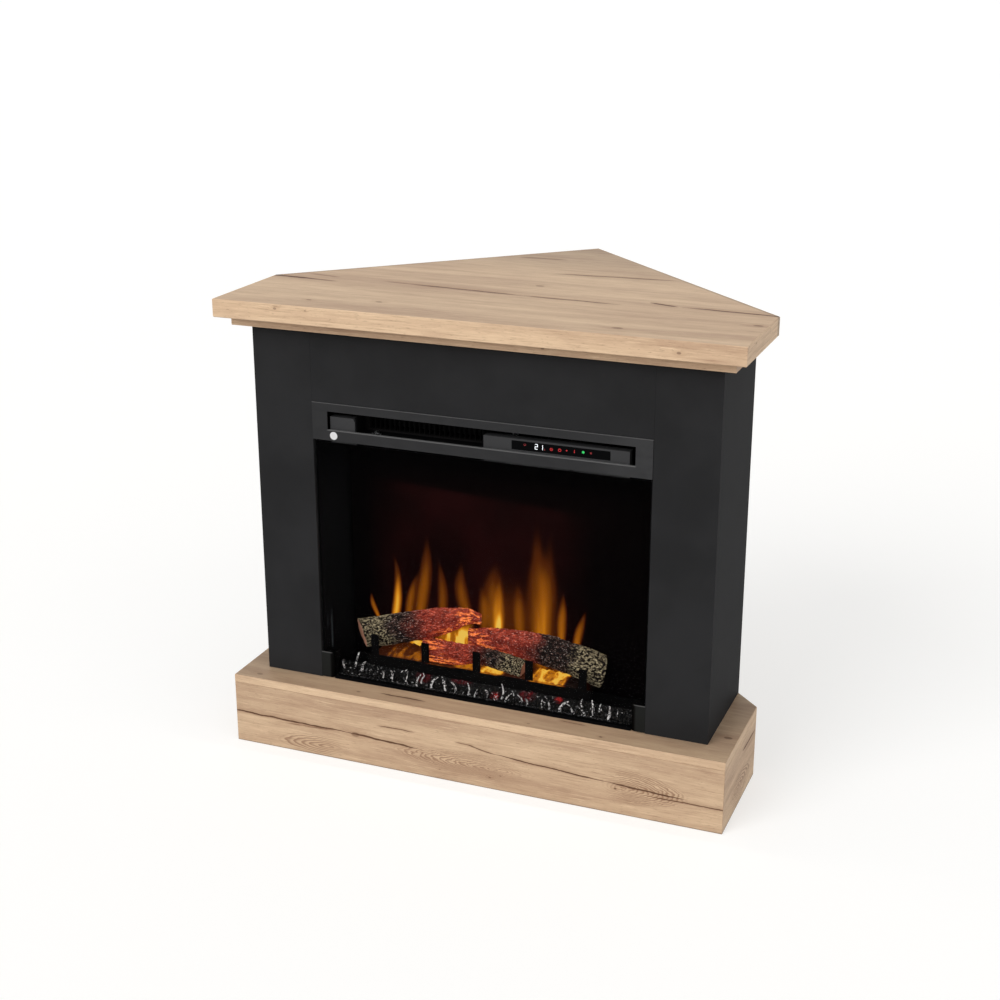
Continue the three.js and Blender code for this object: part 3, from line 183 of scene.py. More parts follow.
class Graph:
    """A node tree that is built by expressions."""

    def __init__(self, tree: bpy.types.NodeTree) -> None:
        """Start on a tree."""
        self.tree = tree

    def node(
        self,
        kind: str,
        settings: dict[str, object] | None = None,
        inputs: dict[str | int, object] | None = None,
        output: str | int = 0,
    ) -> Value:
        """Add a node.

        Args:
            kind: The node's type.
            settings: Its properties, with "ramp" for a colour ramp's stops. They are set first.
            inputs: Values, numbers, colours or objects for its sockets, by name or number.
            output: The socket to return.

        Returns:
            The chosen output.
        """
        node = self.tree.nodes.new(kind)
        for name, value in (settings or {}).items():
            if name == "ramp":
                self._fill(node.color_ramp, value)
            else:
                setattr(node, name, value)
        for key, value in (inputs or {}).items():
            if isinstance(value, Value):
                self.tree.links.new(value.socket, node.inputs[key])
            else:
                node.inputs[key].default_value = value
        return Value(self, node.outputs[output])

    @staticmethod
    def _fill(ramp: bpy.types.ColorRamp, stops: Sequence[tuple[float, Color]]) -> None:
        """Give a colour ramp its stops.

        Args:
            ramp: The ramp, which has two stops at first.
            stops: The positions, rising, and their colours.
        """
        while len(ramp.elements) < len(stops):
            ramp.elements.new(1.0)
        for element, (position, color) in zip(ramp.elements, stops):
            element.position = position
            element.color = color

    def math(self, operation: str, *values: "Value | float") -> Value:
        """Add a Math node."""
        return self.node("ShaderNodeMath", {"operation": operation}, dict(enumerate(values)))

    def mix(self, factor: "Value | float", low: "Value | Color", high: "Value | Color") -> Value:
        """Mix two colours."""
        return self.node("ShaderNodeMix", {"data_type": "RGBA"}, {0: factor, 6: low, 7: high}, 2)

    def point(self, x: "Value | float", y: "Value | float", z: "Value | float" = 0.0) -> Value:
        """Join three values into a vector."""
        return self.node("ShaderNodeCombineXYZ", None, {0: x, 1: y, 2: z})

    def parts(self, vector: Value) -> tuple[Value, Value, Value]:
        """Split a vector into its three values.

        Args:
            vector: The vector.

        Returns:
            Its x, y and z.
        """
        first = self.node("ShaderNodeSeparateXYZ", None, {0: vector})
        node = first.socket.node
        return first, Value(self, node.outputs[1]), Value(self, node.outputs[2])

    def noise(self, place: Value, scale: float = 1.0, detail: float = 3.0, rough: float = 0.5) -> Value:
        """Sample fractal noise, from 0 to 1, at a place."""
        inputs = {"Vector": place, "Scale": scale, "Detail": detail, "Roughness": rough}
        return self.node("ShaderNodeTexNoise", None, inputs)

    def cells(self, place: Value, scale: float = 1.0) -> Value:
        """Sample a Voronoi texture's distance at a place."""
        return self.node("ShaderNodeTexVoronoi", None, {"Vector": place, "Scale": scale}, "Distance")


class Paint(Graph):
    """A material whose Principled shader takes its inputs from expressions."""

    def __init__(self, name: str, **constants: "float | Color") -> None:
        """Start a material.

        Args:
            name: The material's name.
            constants: Shader inputs that are the same all over, with underscores for spaces.
        """
        self.material = bpy.data.materials.new(name)
        self.material.use_nodes = True
        super().__init__(self.material.node_tree)
        self.shader = self.tree.nodes["Principled BSDF"]
        self.place = self.node("ShaderNodeTexCoord", output="Object")
        self.x, self.y, self.z = self.parts(self.place)
        self.set(**constants)

    def set(self, **inputs: "Value | float | Color") -> None:
        """Set or link the shader's inputs.

        Args:
            inputs: A value, number or colour for each input, with underscores for spaces.
        """
        for name, value in inputs.items():
            socket = self.shader.inputs[name.replace("_", " ")]
            if isinstance(value, Value):
                self.tree.links.new(value.socket, socket)
            else:
                socket.default_value = value

    def bump(self, height: Value, distance: float, strength: float = 1.0) -> None:
        """Raise the surface by a height from 0 to 1, times a distance in metres."""
        inputs = {"Height": height, "Distance": distance, "Strength": strength}
        self.set(Normal=self.node("ShaderNodeBump", None, inputs))

    def attribute(self, name: str) -> Value:
        """Read a number that the mesh carries at its points."""
        return self.node("ShaderNodeAttribute", {"attribute_name": name}, None, "Fac")


# ------------------------------------------------------------------------------- finishes
@dataclass(frozen=True)
class Crack:
    """A dark split in a board, between two places along and across its grain, in millimetres."""

    start: tuple[float, float]
    end: tuple[float, float]
    width: float = 2.0
    depth: float = 1.0


@dataclass(frozen=True)
class Knot:
    """A knot at a place along and across the grain, in millimetres."""

    place: tuple[float, float]
    radius: float = 5.0
    depth: float = 0.8


@dataclass(frozen=True)
class Rings:
    """Growth rings cut at a shallow angle, which show as nested arches to one side of a heart."""

    heart: tuple[float, float]
    long: float = 130.0
    tall: float = 26.0
    count: float = 8.0
    way: float = -1.0


@dataclass(frozen=True)
class Oak:
    """Rustic oak decor. The grain runs along X on top and along the board on its edges."""

    name: str
    seed: float
    cracks: tuple[Crack, ...] = ()
    knots: tuple[Knot, ...] = ()
    rings: tuple[Rings, ...] = ()
    # Painted shade: the gains darken the edges, the top, and the top towards its back; rim sets where a
    # painted shadow line runs along the back edges.
    gain: float = 1.0
    top_shade_gain: float = 1.0
    back_shade_gain: float = 1.0
    pale: Color = srgb(236, 208, 172)
    light: Color = srgb(220, 190, 156)
    dark: Color = srgb(182, 150, 122)
    line: Color = srgb(150, 116, 90)
    pore: Color = srgb(120, 90, 68)
    halo: Color = srgb(146, 104, 74)
    split: Color = srgb(66, 44, 32)
    rim: float | None = None

    def build(self) -> bpy.types.Material:
        """Build the material.

        Returns:
            The material.
        """
        paint = Paint(self.name, Specular_IOR_Level=0.3)
        normal = paint.node("ShaderNodeNewGeometry", output="True Normal")
        nx, ny, nz = paint.parts(normal)
        flat = abs(nz).smooth(0.7, 0.72)
        edge = 1 - flat
        along = flat * paint.x + edge * (nx * paint.y - ny * paint.x)
        across = flat * paint.y + edge * paint.z

        drift = paint.noise(paint.point(along * 2.2, across * 9.0, self.seed), detail=2.0) - 0.5
        warp = across + 0.02 * drift
        for knot in self.knots:
            near = self._near(along, across, knot.place, knot.radius * 6, knot.radius * 2.2)
            warp = warp + near * (knot.radius * 0.9 * MM)

        color = self._grain(paint, along, across, warp, flat)
        arches: Value | float = 0.0
        for rings in self.rings:
            arches = self._arches(paint, along, warp, rings) + arches
        if self.rings:
            color = paint.mix(arches.least(0.85), color, self.line)

        dark, halo = self._splits(paint, along, across)
        color = paint.mix(halo, color, self.halo)
        color = paint.mix(dark, color, self.split)
        # Painted shade: the top darkens towards its back, and each face by its gain.
        back = paint.y.smooth(0.0, 0.42) * (self.top_shade_gain - self.back_shade_gain)
        shadow = flat * (back + (1 - self.top_shade_gain)) + edge * (1 - self.gain)
        # A painted contact shadow darkens the edges' lowest three millimetres, where they meet the floor.
        painted_contact_shade = paint.z.smooth(0.0032, 0.0006) * (0.6 * edge)
        if self.rim is not None:
            # A painted shadow line runs along the back edges. They run at 45 degrees, so the sum of |x| and y
            # is the same all along them.
            reach = abs(paint.x) + paint.y
            painted_contact_shade = painted_contact_shade + 0.4 * (flat * reach.smooth((self.rim - 11) * MM, (self.rim - 3) * MM)
                                 + edge * reach.smooth((self.rim - 14) * MM, (self.rim - 9) * MM))
        color = paint.mix(shadow.most(painted_contact_shade), color, BLACK)
        paint.set(Base_Color=color, Roughness=0.55 + 0.2 * dark)
        paint.bump((1 - dark).least(1.0), 0.0006, 0.6)
        return paint.material

    def _grain(self, paint: Paint, along: Value, across: Value, warp: Value, flat: Value) -> Value:
        """Draw the wood without its faults: broad tone, bands, fibres and pores.

        Args:
            paint: The material.
            along: The place along the grain.
            across: The place across it.
            warp: The place across it, drawn round the knots.
            flat: 1 on a face that looks up or down, where the grain is finer.

        Returns:
            The colour.
        """
        broad = paint.noise(paint.point(along * 0.9, warp * 9.0, self.seed + 1), detail=1.0)
        tone = paint.noise(paint.point(along * 1.7, warp * 22.0, self.seed + 3), detail=4.0, rough=0.6)
        band = paint.noise(paint.point(along * 2.6, warp * 85.0, self.seed + 7), detail=4.0, rough=0.62)
        blotch = paint.noise(paint.point(along * 12.0, across * 42.0, self.seed + 17), detail=4.0, rough=0.6)
        fibre = paint.noise(paint.point(along * 13.0, warp * 330.0, self.seed + 11), detail=4.0, rough=0.7)
        dash = paint.noise(paint.point(along * 55.0, warp * 560.0, self.seed + 13), detail=2.0, rough=0.7)
        shade = (0.42 * broad.smooth(0.4, 0.6) + 0.34 * tone.smooth(0.36, 0.64)
                 + 0.24 * band.smooth(0.34, 0.66) + 0.22 * blotch.smooth(0.42, 0.66))
        color = paint.mix(shade.least(1.0), self.light, self.dark)
        fine = 1 - 0.45 * flat
        color = paint.mix(0.6 * fine * fibre.smooth(0.47, 0.3), color, self.pale)
        color = paint.mix(0.6 * fine * fibre.smooth(0.53, 0.72), color, self.line)
        return paint.mix(0.5 * fine * dash.smooth(0.6, 0.72), color, self.pore)

    @staticmethod
    def _near(along: Value, across: Value, place: tuple[float, float], long: float, wide: float) -> Value:
        """Return a bell from 1 at a place to 0 at its reach along and across, in millimetres."""
        du, dv = along.scaled(place[0], long), across.scaled(place[1], wide)
        return (du * du + dv * dv).smooth(1.0, 0.0)

    def _arches(self, paint: Paint, along: Value, warp: Value, rings: Rings) -> Value:
        """Draw the dark lines of the nested arches beside a heart.

        Args:
            paint: The material.
            along: The place along the grain.
            warp: The place across it.
            rings: The arches.

        Returns:
            How dark each place is, from 0 to 1.
        """
        du, dv = along.scaled(rings.heart[0], rings.long), warp.scaled(rings.heart[1], rings.tall)
        wobble = paint.noise(paint.point(along * 50.0, warp * 120.0, self.seed + 23), detail=2.0) - 0.5
        level = (du * du + dv * dv) ** 0.5 + 0.16 * wobble
        saw = paint.math("FRACT", level * rings.count)
        weight = level.smooth(1.05, 0.75) * (du * rings.way).smooth(-0.45, 0.1)
        return weight * saw.window((0.3, 0.8), (0.88, 1.0))

    def _splits(self, paint: Paint, along: Value, across: Value) -> tuple[Value, Value]:
        """Draw the board's splits and knots.

        Args:
            paint: The material.
            along: The place along the grain.
            across: The place across it.

        Returns:
            Where the board is split or knotted, and the brown stain round it, from 0 to 1.
        """
        wave = paint.noise(paint.point(along * 18.0, self.seed + 31, 0.0), detail=3.0) - 0.5
        ragged = paint.noise(paint.point(along * 70.0, across * 40.0, self.seed + 37), detail=3.0)
        total: Value | float = 0.0
        stain: Value | float = 0.0
        for crack in self.cracks:
            (u0, v0), (u1, v1) = crack.start, crack.end
            t = along.scaled(u0, u1 - u0)
            off = abs(across - (t * ((v1 - v0) * MM) + v0 * MM + 0.008 * wave))
            taper = t.window((0.0, 0.25), (0.7, 1.0))
            half = crack.width * MM * (taper * (0.3 + ragged * 0.9)) + 1e-5
            total = (off / half).smooth(1.0, 0.45) * (crack.depth * taper.smooth(0.0, 0.2)) + total
            stain = (off / (crack.width * 3.0 * MM)).smooth(1.0, 0.0) * (0.35 * taper) + stain
        for knot in self.knots:
            near = self._near(along, across, knot.place, knot.radius * 1.7, knot.radius)
            total = (near * (0.4 + ragged)).smooth(0.15, 0.75) * knot.depth + total
            brown = self._near(along, across, knot.place, knot.radius * 5, knot.radius * 2.4)
            stain = brown * (0.3 * knot.depth) + stain
        return total.least(1.0), stain.least(0.6)


@dataclass(frozen=True)
class Board:
    """Plain board: black laminate outside, or raw chipboard where nobody looks."""

    name: str
    color: Color
    roughness: float
    grit: float = 0.0
    specular: float = 0.25

    def build(self) -> bpy.types.Material:
        """Build the material.

        Returns:
            The material.
        """
        paint = Paint(self.name, Specular_IOR_Level=self.specular)
        cloud = paint.noise(paint.place, 7.0, 3.0)
        grain = paint.noise(paint.place, 900.0, 2.0)
        pressed = paint.node("ShaderNodeMapping", None, {"Vector": paint.place, "Scale": (1, 1, 2.2)})
        chips = paint.cells(pressed, 260.0)
        color = paint.mix(cloud.smooth(0.3, 0.7), gained(self.color, 0.86), gained(self.color, 1.14))
        color = paint.mix(self.grit * chips.smooth(0.35, 0.75), color, gained(self.color, 0.55))
        paint.set(Base_Color=color, Roughness=self.roughness + 0.08 * (cloud - 0.5) + 0.06 * (grain - 0.5))
        paint.bump(grain * 0.5 + self.grit * chips, 0.00012 + 0.0004 * self.grit, 0.35)
        return paint.material


class MetalLook(Enum):
    """How a sheet-metal surface was finished."""

    POWDER = "powder coat"
    SATIN = "satin paint"
    GALVANISED = "zinc plate"
    BRIGHT = "bright aluminium"


@dataclass(frozen=True)
class Metal:
    """Sheet metal, painted or plated."""

    name: str
    look: MetalLook
    color: Color
    roughness: float
    specular: float = 0.12

    def build(self) -> bpy.types.Material:
        """Build the material.

        Returns:
            The material.
        """
        plated = self.look in (MetalLook.GALVANISED, MetalLook.BRIGHT)
        paint = Paint(self.name, Metallic=float(plated), Specular_IOR_Level=0.5 if plated else self.specular)
        cloud = paint.noise(paint.place, 9.0, 4.0)
        if self.look is MetalLook.GALVANISED:
            texture = paint.cells(paint.place, 140.0)
        elif self.look is MetalLook.BRIGHT:
            texture = paint.noise(paint.point(paint.x * 30.0, paint.y * 1400.0, paint.z * 1400.0), 1.0, 2.0)
        else:
            texture = paint.noise(paint.place, 1300.0, 2.0)
        color = paint.mix(0.5 * cloud + 0.5 * texture, gained(self.color, 0.8), gained(self.color, 1.18))
        paint.set(Base_Color=color, Roughness=self.roughness + 0.12 * (cloud - 0.5) + 0.1 * (texture - 0.5))
        depth = 0.00015 if self.look is MetalLook.POWDER else 0.00005
        paint.bump(texture, depth, 0.5)
        return paint.material


@dataclass(frozen=True)
class Moulding:
    """Moulded plastic with a fine spark-eroded grain."""

    name: str
    color: Color
    roughness: float = 0.42
    specular: float = 0.35

    def build(self) -> bpy.types.Material:
        """Build the material.

        Returns:
            The material.
        """
        paint = Paint(self.name, Specular_IOR_Level=self.specular)
        grain = paint.noise(paint.place, 1600.0, 2.0)
        cloud = paint.noise(paint.place, 20.0, 2.0)
        color = paint.mix(cloud, self.color, gained(self.color, 1.25))
        paint.set(Base_Color=color, Roughness=self.roughness + 0.1 * (grain - 0.5))
        paint.bump(grain, 0.00006, 0.5)
        return paint.material


@dataclass(frozen=True)
class Glass:
    """Smoked flat glass, seen through more than seen, with faint upright reflections painted at one side."""

    name: str = "smoked_glass"
    tint: Color = srgb(8, 8, 9)
    cover: float = 0.1
    painted_gleams: tuple[tuple[float, float, float, float], ...] = (
        (-339.0, 2.2, 0.215, 0.34),
        (-349.0, 1.4, 0.26, 0.33),
    )

    def build(self) -> bpy.types.Material:
        """Build the material.

        Returns:
            The material.
        """
        paint = Paint(
            self.name, Base_Color=self.tint, Specular_IOR_Level=0.04, IOR=1.45, Emission_Strength=1.0
        )
        haze = paint.noise(paint.point(paint.x * 3.0, paint.y, paint.z * 0.7), 3.0, 2.0)
        # The gleams are painted reflections: upright stripes that shine by emission and cover more.
        painted_gleam: Value | float = 0.0
        for x, width, z0, z1 in self.painted_gleams:
            stripe = abs(paint.x.scaled(x, width)).smooth(1.0, 0.0)
            painted_gleam = stripe * paint.z.window((z0, z0 + 0.03), (z1 - 0.05, z1)) + painted_gleam
        paint.set(
            Roughness=0.02 + 0.03 * haze.smooth(0.4, 0.8),
            Alpha=self.cover + 0.03 * haze + 0.5 * painted_gleam,
            Emission_Color=paint.mix(painted_gleam, BLACK, srgb(42, 45, 47)),
        )
        return paint.material


@dataclass(frozen=True)
class Lit:
    """A surface that shines by itself, such as a lamp or a symbol on a display."""

    name: str
    color: Color
    strength: float

    def build(self) -> bpy.types.Material:
        """Build the material.

        Returns:
            The material.
        """
        paint = Paint(self.name, Roughness=0.3, Emission_Strength=self.strength)
        spread = paint.noise(paint.place, 500.0, 1.0)
        glow = paint.mix(spread, gained(self.color, 0.7), self.color)
        paint.set(Base_Color=glow, Emission_Color=glow)
        return paint.material


@dataclass(frozen=True)
class Flame:
    """One tongue of flame on the screen, in millimetres from the fire's middle and the floor."""

    root: tuple[float, float]
    tip: tuple[float, float]
    bend: float
    width: float
    glow: float


@dataclass(frozen=True)
class FlameScreen:
    """The dark screen with the flames that shine through it."""

    name: str
    flames: tuple[Flame, ...]
    strength: float = 1.0

    def build(self) -> bpy.types.Material:
        """Build the material.

        Returns:
            The material.
        """
        paint = Paint(self.name, Base_Color=srgb(4, 2, 2), Roughness=0.6, Specular_IOR_Level=0.0)
        sway = paint.noise(paint.point(paint.x * 9.0, 3.0, paint.z * 7.0), detail=2.0) - 0.5
        flick = paint.noise(paint.point(paint.x * 75.0, 8.0, paint.z * 7.0), detail=3.0)
        x = paint.x + 0.01 * sway
        heat: Value | float = 0.0
        for flame in self.flames:
            heat = self._tongue(paint, x, flame) + heat
        heat = heat * (0.5 + 0.72 * flick)
        # The roots of the flames run together in a band, bright where it shows between the logs.
        tongues = paint.noise(paint.point(paint.x * 34.0, 5.0, paint.z * 10.0), detail=3.0)
        band = paint.z.smooth(0.268, 0.225) * abs(paint.x + 0.03).smooth(0.25, 0.17)
        veil = abs(paint.x - 0.045).smooth(0.115, 0.06) * paint.z.smooth(0.45, 0.27) * (0.5 + 0.7 * tongues)
        gap = paint.x.window((-0.163, -0.14), (-0.08, -0.068)) * paint.z.smooth(0.276, 0.24)
        slit = paint.x.window((-0.232, -0.2), (-0.19, -0.176)) * paint.z.smooth(0.216, 0.21)
        heat = heat + 0.22 * band * tongues.smooth(0.4, 0.65) + 0.13 * veil
        heat = heat + 0.95 * gap * (0.4 + 0.8 * tongues.smooth(0.4, 0.6)) + 0.75 * slit
        # A dim red haze, which ends at a level line, hangs round them.
        cloud = paint.noise(paint.point(paint.x * 7.0, 11.0, paint.z * 6.0), detail=3.0)
        wide = abs(paint.x + 0.055).smooth(0.27, 0.15)
        level = (paint.z + 0.054 * paint.x).window((0.17, 0.25), (0.556, 0.571))
        haze = paint.mix(wide * level * (0.3 + 0.8 * cloud.smooth(0.3, 0.7)), BLACK, srgb(27, 5, 5))
        glow = paint.mix(heat.smooth(0.0, 0.12), haze, (heat + 0.08).least(0.93).ramp(HEAT))
        paint.set(Emission_Color=glow, Emission_Strength=self.strength)
        return paint.material

    @staticmethod
    def _tongue(paint: Paint, x: Value, flame: Flame) -> Value:
        """Draw one tongue.

        Args:
            paint: The material.
            x: The place across the screen, swayed.
            flame: The tongue.

        Returns:
            Its heat, from 0 outside it to its glow at its root.
        """
        (x0, z0), (x1, z1) = flame.root, flame.tip
        t = paint.z.scaled(z0, z1 - z0)
        rise = t.window((-0.4, 0.0), (0.4, 1.08))
        arc = paint.math("SINE", t * math.pi)
        centre = t * ((x1 - x0) * MM) + x0 * MM + arc * (flame.bend * MM)
        belly = paint.math("SINE", (t * 0.7 + 0.3).least(1.0).most(0.0) * math.pi) ** 0.8
        half = flame.width * MM * belly + 0.0014
        body = (abs(x - centre) / half).smooth(1.05, 0.0)
        return body * rise * (flame.glow * (1.1 - 0.4 * t))


# ------------------------------------------------------------------------------- mesh making
def link(name: str, data: bpy.types.ID) -> bpy.types.Object:
    """Put a mesh, lamp or camera in the scene.

    Args:
        name: The object's name.
        data: The mesh, lamp or camera.

    Returns:
        The object, at the origin.
    """
    piece = bpy.data.objects.new(name, data)
    bpy.context.scene.collection.objects.link(piece)
    return piece


def quilt(mesh: bmesh.types.BMesh, rows: Sequence[Sequence[bmesh.types.BMVert]]) -> None:
    """Fill the squares between rows of points, which run across from each other."""
    for near, far in zip(rows, rows[1:]):
        for j in range(len(near) - 1):
            mesh.faces.new((near[j], far[j], far[j + 1], near[j + 1]))


def to_object(mesh: bmesh.types.BMesh, name: str, material: bpy.types.Material) -> bpy.types.Object:
    """Turn an edit mesh into an object of the scene.

    Args:
        mesh: The edit mesh, which is freed.
        name: The object's name.
        material: Its material.

    Returns:
        The object, at the origin.
    """
    data = bpy.data.meshes.new(name)
    mesh.to_mesh(data)
    mesh.free()
    data.materials.append(material)
    return link(name, data)


def smooth_by_angle(piece: bpy.types.Object, degrees: float = 35.0) -> None:
    """Shade a mesh smooth, apart from its edges sharper than an angle."""
    piece.data.shade_smooth()
    piece.data.set_sharp_from_angle(angle=math.radians(degrees))


def dress(names: Iterable[str], material: bpy.types.Material) -> None:
    """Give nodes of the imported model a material.

    Args:
        names: The nodes.
        material: The material.
    """
    for name in names:
        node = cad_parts[name]
        if node.material_slots:
            node.material_slots[0].material = material
        else:
            node.data.materials.append(material)


def settle(piece: bpy.types.Object, slot: str, *nodes: str, body: str = ROOT) -> None:
    """Fix a finished piece to its body, and let it stand for nodes, which are hidden.

    Args:
        piece: The piece.
        slot: A material slot's name; it is not used.
        nodes: The nodes that it stands for.
        body: The body that it rides on.
    """
    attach(piece, body)
    if nodes:
        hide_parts(*nodes)
    LOG.info("made %s: %d faces", piece.name, len(piece.data.polygons))


def ease(share: float) -> float:
    """Ease a share from 0 to 1, and hold it outside."""
    share = min(1.0, max(0.0, share))
    return share * share * (3 - 2 * share)


def close_below(mesh: bmesh.types.BMesh, bottom: float) -> None:
    """Drop a skirt from an open sheet's rim to a level, and close it underneath.

    Args:
        mesh: The sheet, which looks up.
        bottom: The level, in metres.
    """
    rim = [e for e in mesh.edges if e.is_boundary]
    skirt = bmesh.ops.extrude_edge_only(mesh, edges=rim)["geom"]
    low = [v for v in skirt if isinstance(v, bmesh.types.BMVert)]
    for vert in low:
        vert.co.z = bottom
    edges = [e for e in skirt if isinstance(e, bmesh.types.BMEdge) and e.is_boundary]
    bmesh.ops.contextual_create(mesh, geom=edges)
    bmesh.ops.recalc_face_normals(mesh, faces=mesh.faces)


def bake_modifiers(piece: bpy.types.Object, name: str) -> bpy.types.Object:
    """Turn a piece's modifiers into plain mesh and rename it.

    Args:
        piece: The object.
        name: Its name from here on.

    Returns:
        The object, without modifiers.
    """
    graph = bpy.context.evaluated_depsgraph_get()
    data = bpy.data.meshes.new_from_object(piece.evaluated_get(graph))
    piece.modifiers.clear()
    piece.data = data
    piece.name = data.name = name
    return piece


class Growth(Graph):
    """A Geometry Nodes tree with named inputs."""

    def __init__(self, name: str, inputs: Sequence[tuple[str, str]]) -> None:
        """Start a tree.

        Args:
            name: The tree's name.
            inputs: The name and the socket type of each input after the geometry.
        """
        super().__init__(bpy.data.node_groups.new(name, "GeometryNodeTree"))
        face = self.tree.interface
        face.new_socket("Geometry", in_out="INPUT", socket_type="NodeSocketGeometry")
        face.new_socket("Geometry", in_out="OUTPUT", socket_type="NodeSocketGeometry")
        self.keys = {
            word: face.new_socket(word, in_out="INPUT", socket_type=kind).identifier for word, kind in inputs
        }
        source = self.tree.nodes.new("NodeGroupInput")
        self.given = {socket.name: Value(self, socket) for socket in source.outputs if socket.name}

    def finish(self, geometry: Value) -> None:
        """Realize the instances, give them the material and put them out.

        Args:
            geometry: What the tree made.
        """
        solid = self.node("GeometryNodeRealizeInstances", None, {0: geometry})
        painted = self.node("GeometryNodeSetMaterial", None, {0: solid, "Material": self.given["Material"]})
        sink = self.tree.nodes.new("NodeGroupOutput")
        self.tree.links.new(painted.socket, sink.inputs[0])

    def join(self, parts: Sequence[Value]) -> Value:
        """Join geometries into one.

        Args:
            parts: The geometries.

        Returns:
            The joined geometry.
        """
        joined = self.node("GeometryNodeJoinGeometry")
        for part in parts:
            self.tree.links.new(part.socket, joined.socket.node.inputs[0])
        return joined

    def random(self, low: object, high: object, seed: Value, kind: str = "FLOAT_VECTOR") -> Value:
        """Draw a random value for each point.

        Args:
            low: The least value.
            high: The greatest value.
            seed: The seed.
            kind: FLOAT for a number or FLOAT_VECTOR for a vector.

        Returns:
            The value.
        """
        first = {"FLOAT_VECTOR": (0, 1, 0), "FLOAT": (2, 3, 1)}[kind]
        return self.node("FunctionNodeRandomValue", {"data_type": kind},
                         {first[0]: low, first[1]: high, "Seed": seed}, first[2])

    def put(self, piece: bpy.types.Object, name: str, values: dict[str, object]) -> bpy.types.Object:
        """Run the tree on an object and keep the result as plain mesh.

        Args:
            piece: The object.
            name: Its name from here on.
            values: The inputs, by name.

        Returns:
            The object, without modifiers.
        """
        modifier = piece.modifiers.new(name, "NODES")
        modifier.node_group = self.tree
        for word, value in values.items():
            modifier[self.keys[word]] = value
        return bake_modifiers(piece, name)


@dataclass(frozen=True)
class Scatter:
    """Small stones strewn over a surface."""

    name: str
    seed: int
    density: float
    size: tuple[float, float]
    form: tuple[float, float, float]
    material: bpy.types.Material

    def over(self, surface: bpy.types.Object) -> bpy.types.Object:
        """Replace a surface with the stones that lie on it.

        Args:
            surface: The open mesh that they lie on.

        Returns:
            The stones.
        """
        growth = Growth(self.name, (
            ("Density", "NodeSocketFloat"), ("Smallest", "NodeSocketFloat"), ("Largest", "NodeSocketFloat"),
            ("Form", "NodeSocketVector"), ("Seed", "NodeSocketInt"), ("Material", "NodeSocketMaterial"),
        ))
        given = growth.given
        points = growth.node("GeometryNodeDistributePointsOnFaces", None,
                             {"Mesh": given["Geometry"], "Density": given["Density"], "Seed": given["Seed"]})
        stone = growth.node("GeometryNodeMeshIcoSphere", None, {"Radius": 1.0, "Subdivisions": 1})
        turn = growth.random((0.0, 0.0, 0.0), (math.tau, math.tau, math.tau), given["Seed"])
        size = growth.random(given["Smallest"], given["Largest"], given["Seed"] + 1.0, "FLOAT")
        scale = growth.node("ShaderNodeVectorMath", {"operation": "SCALE"}, {0: given["Form"], "Scale": size})
        placed = growth.node("GeometryNodeInstanceOnPoints", None, {
            "Points": points, "Instance": stone, "Rotation": turn, "Scale": scale,
        })
        growth.finish(placed)
        return growth.put(surface, self.name, {
            "Density": self.density, "Smallest": self.size[0], "Largest": self.size[1],
            "Form": self.form, "Seed": self.seed, "Material": self.material,
        })


@dataclass(frozen=True)
class Horns:
    """Curled horns that stand at points, as tall as the points' size."""

    name: str
    seed: int
    material: bpy.types.Material
    thickness: float = 0.085
    curl: float = 0.2
    tilt: float = 0.36

    def at(self, places: bpy.types.Object) -> bpy.types.Object:
        """Replace points with horns.

        Args:
            places: A mesh of loose points with a size attribute.

        Returns:
            The horns.
        """
        growth = Growth(self.name, (
            ("Thickness", "NodeSocketFloat"), ("Curl", "NodeSocketFloat"), ("Tilt", "NodeSocketFloat"),
            ("Seed", "NodeSocketInt"), ("Material", "NodeSocketMaterial"),
        ))
        given = growth.given
        curl = given["Curl"]
        spine = growth.node("GeometryNodeCurvePrimitiveBezierSegment", {"mode": "POSITION"}, {
            "Resolution": 9, "Start": (0.0, 0.0, 0.0), "Start Handle": growth.point(-curl, 0.0, 0.4),
            "End Handle": growth.point(curl * 1.1, 0.0, 0.9), "End": growth.point(curl * 1.3, 0.0, 0.94),
        })
        share = growth.node("GeometryNodeSplineParameter")
        taper = (1 - share * 0.72) ** 0.8
        thin = growth.node("GeometryNodeSetCurveRadius", None, {"Curve": spine, "Radius": taper})
        profile = growth.node("GeometryNodeCurvePrimitiveCircle", {"mode": "RADIUS"},
                              {"Resolution": 7, "Radius": given["Thickness"]})
        horn = growth.node("GeometryNodeCurveToMesh", None, {
            "Curve": thin, "Profile Curve": profile, "Scale": taper, "Fill Caps": True,
        })
        tall = growth.node("GeometryNodeInputNamedAttribute", {"data_type": "FLOAT"}, {"Name": "size"})
        tilt = given["Tilt"]
        least, most = growth.point(-tilt, -tilt, 0.0), growth.point(tilt, tilt, math.tau)
        turn = growth.random(least, most, given["Seed"])
        wide = growth.random(0.8, 1.3, given["Seed"] + 1.0, "FLOAT")
        placed = growth.node("GeometryNodeInstanceOnPoints", None, {
            "Points": given["Geometry"], "Instance": horn, "Rotation": turn,
            "Scale": growth.point(tall * wide, tall * wide, tall),
        })
        growth.finish(placed)
        return growth.put(places, self.name, {
            "Thickness": self.thickness, "Curl": self.curl, "Tilt": self.tilt, "Seed": self.seed,
            "Material": self.material,
        })


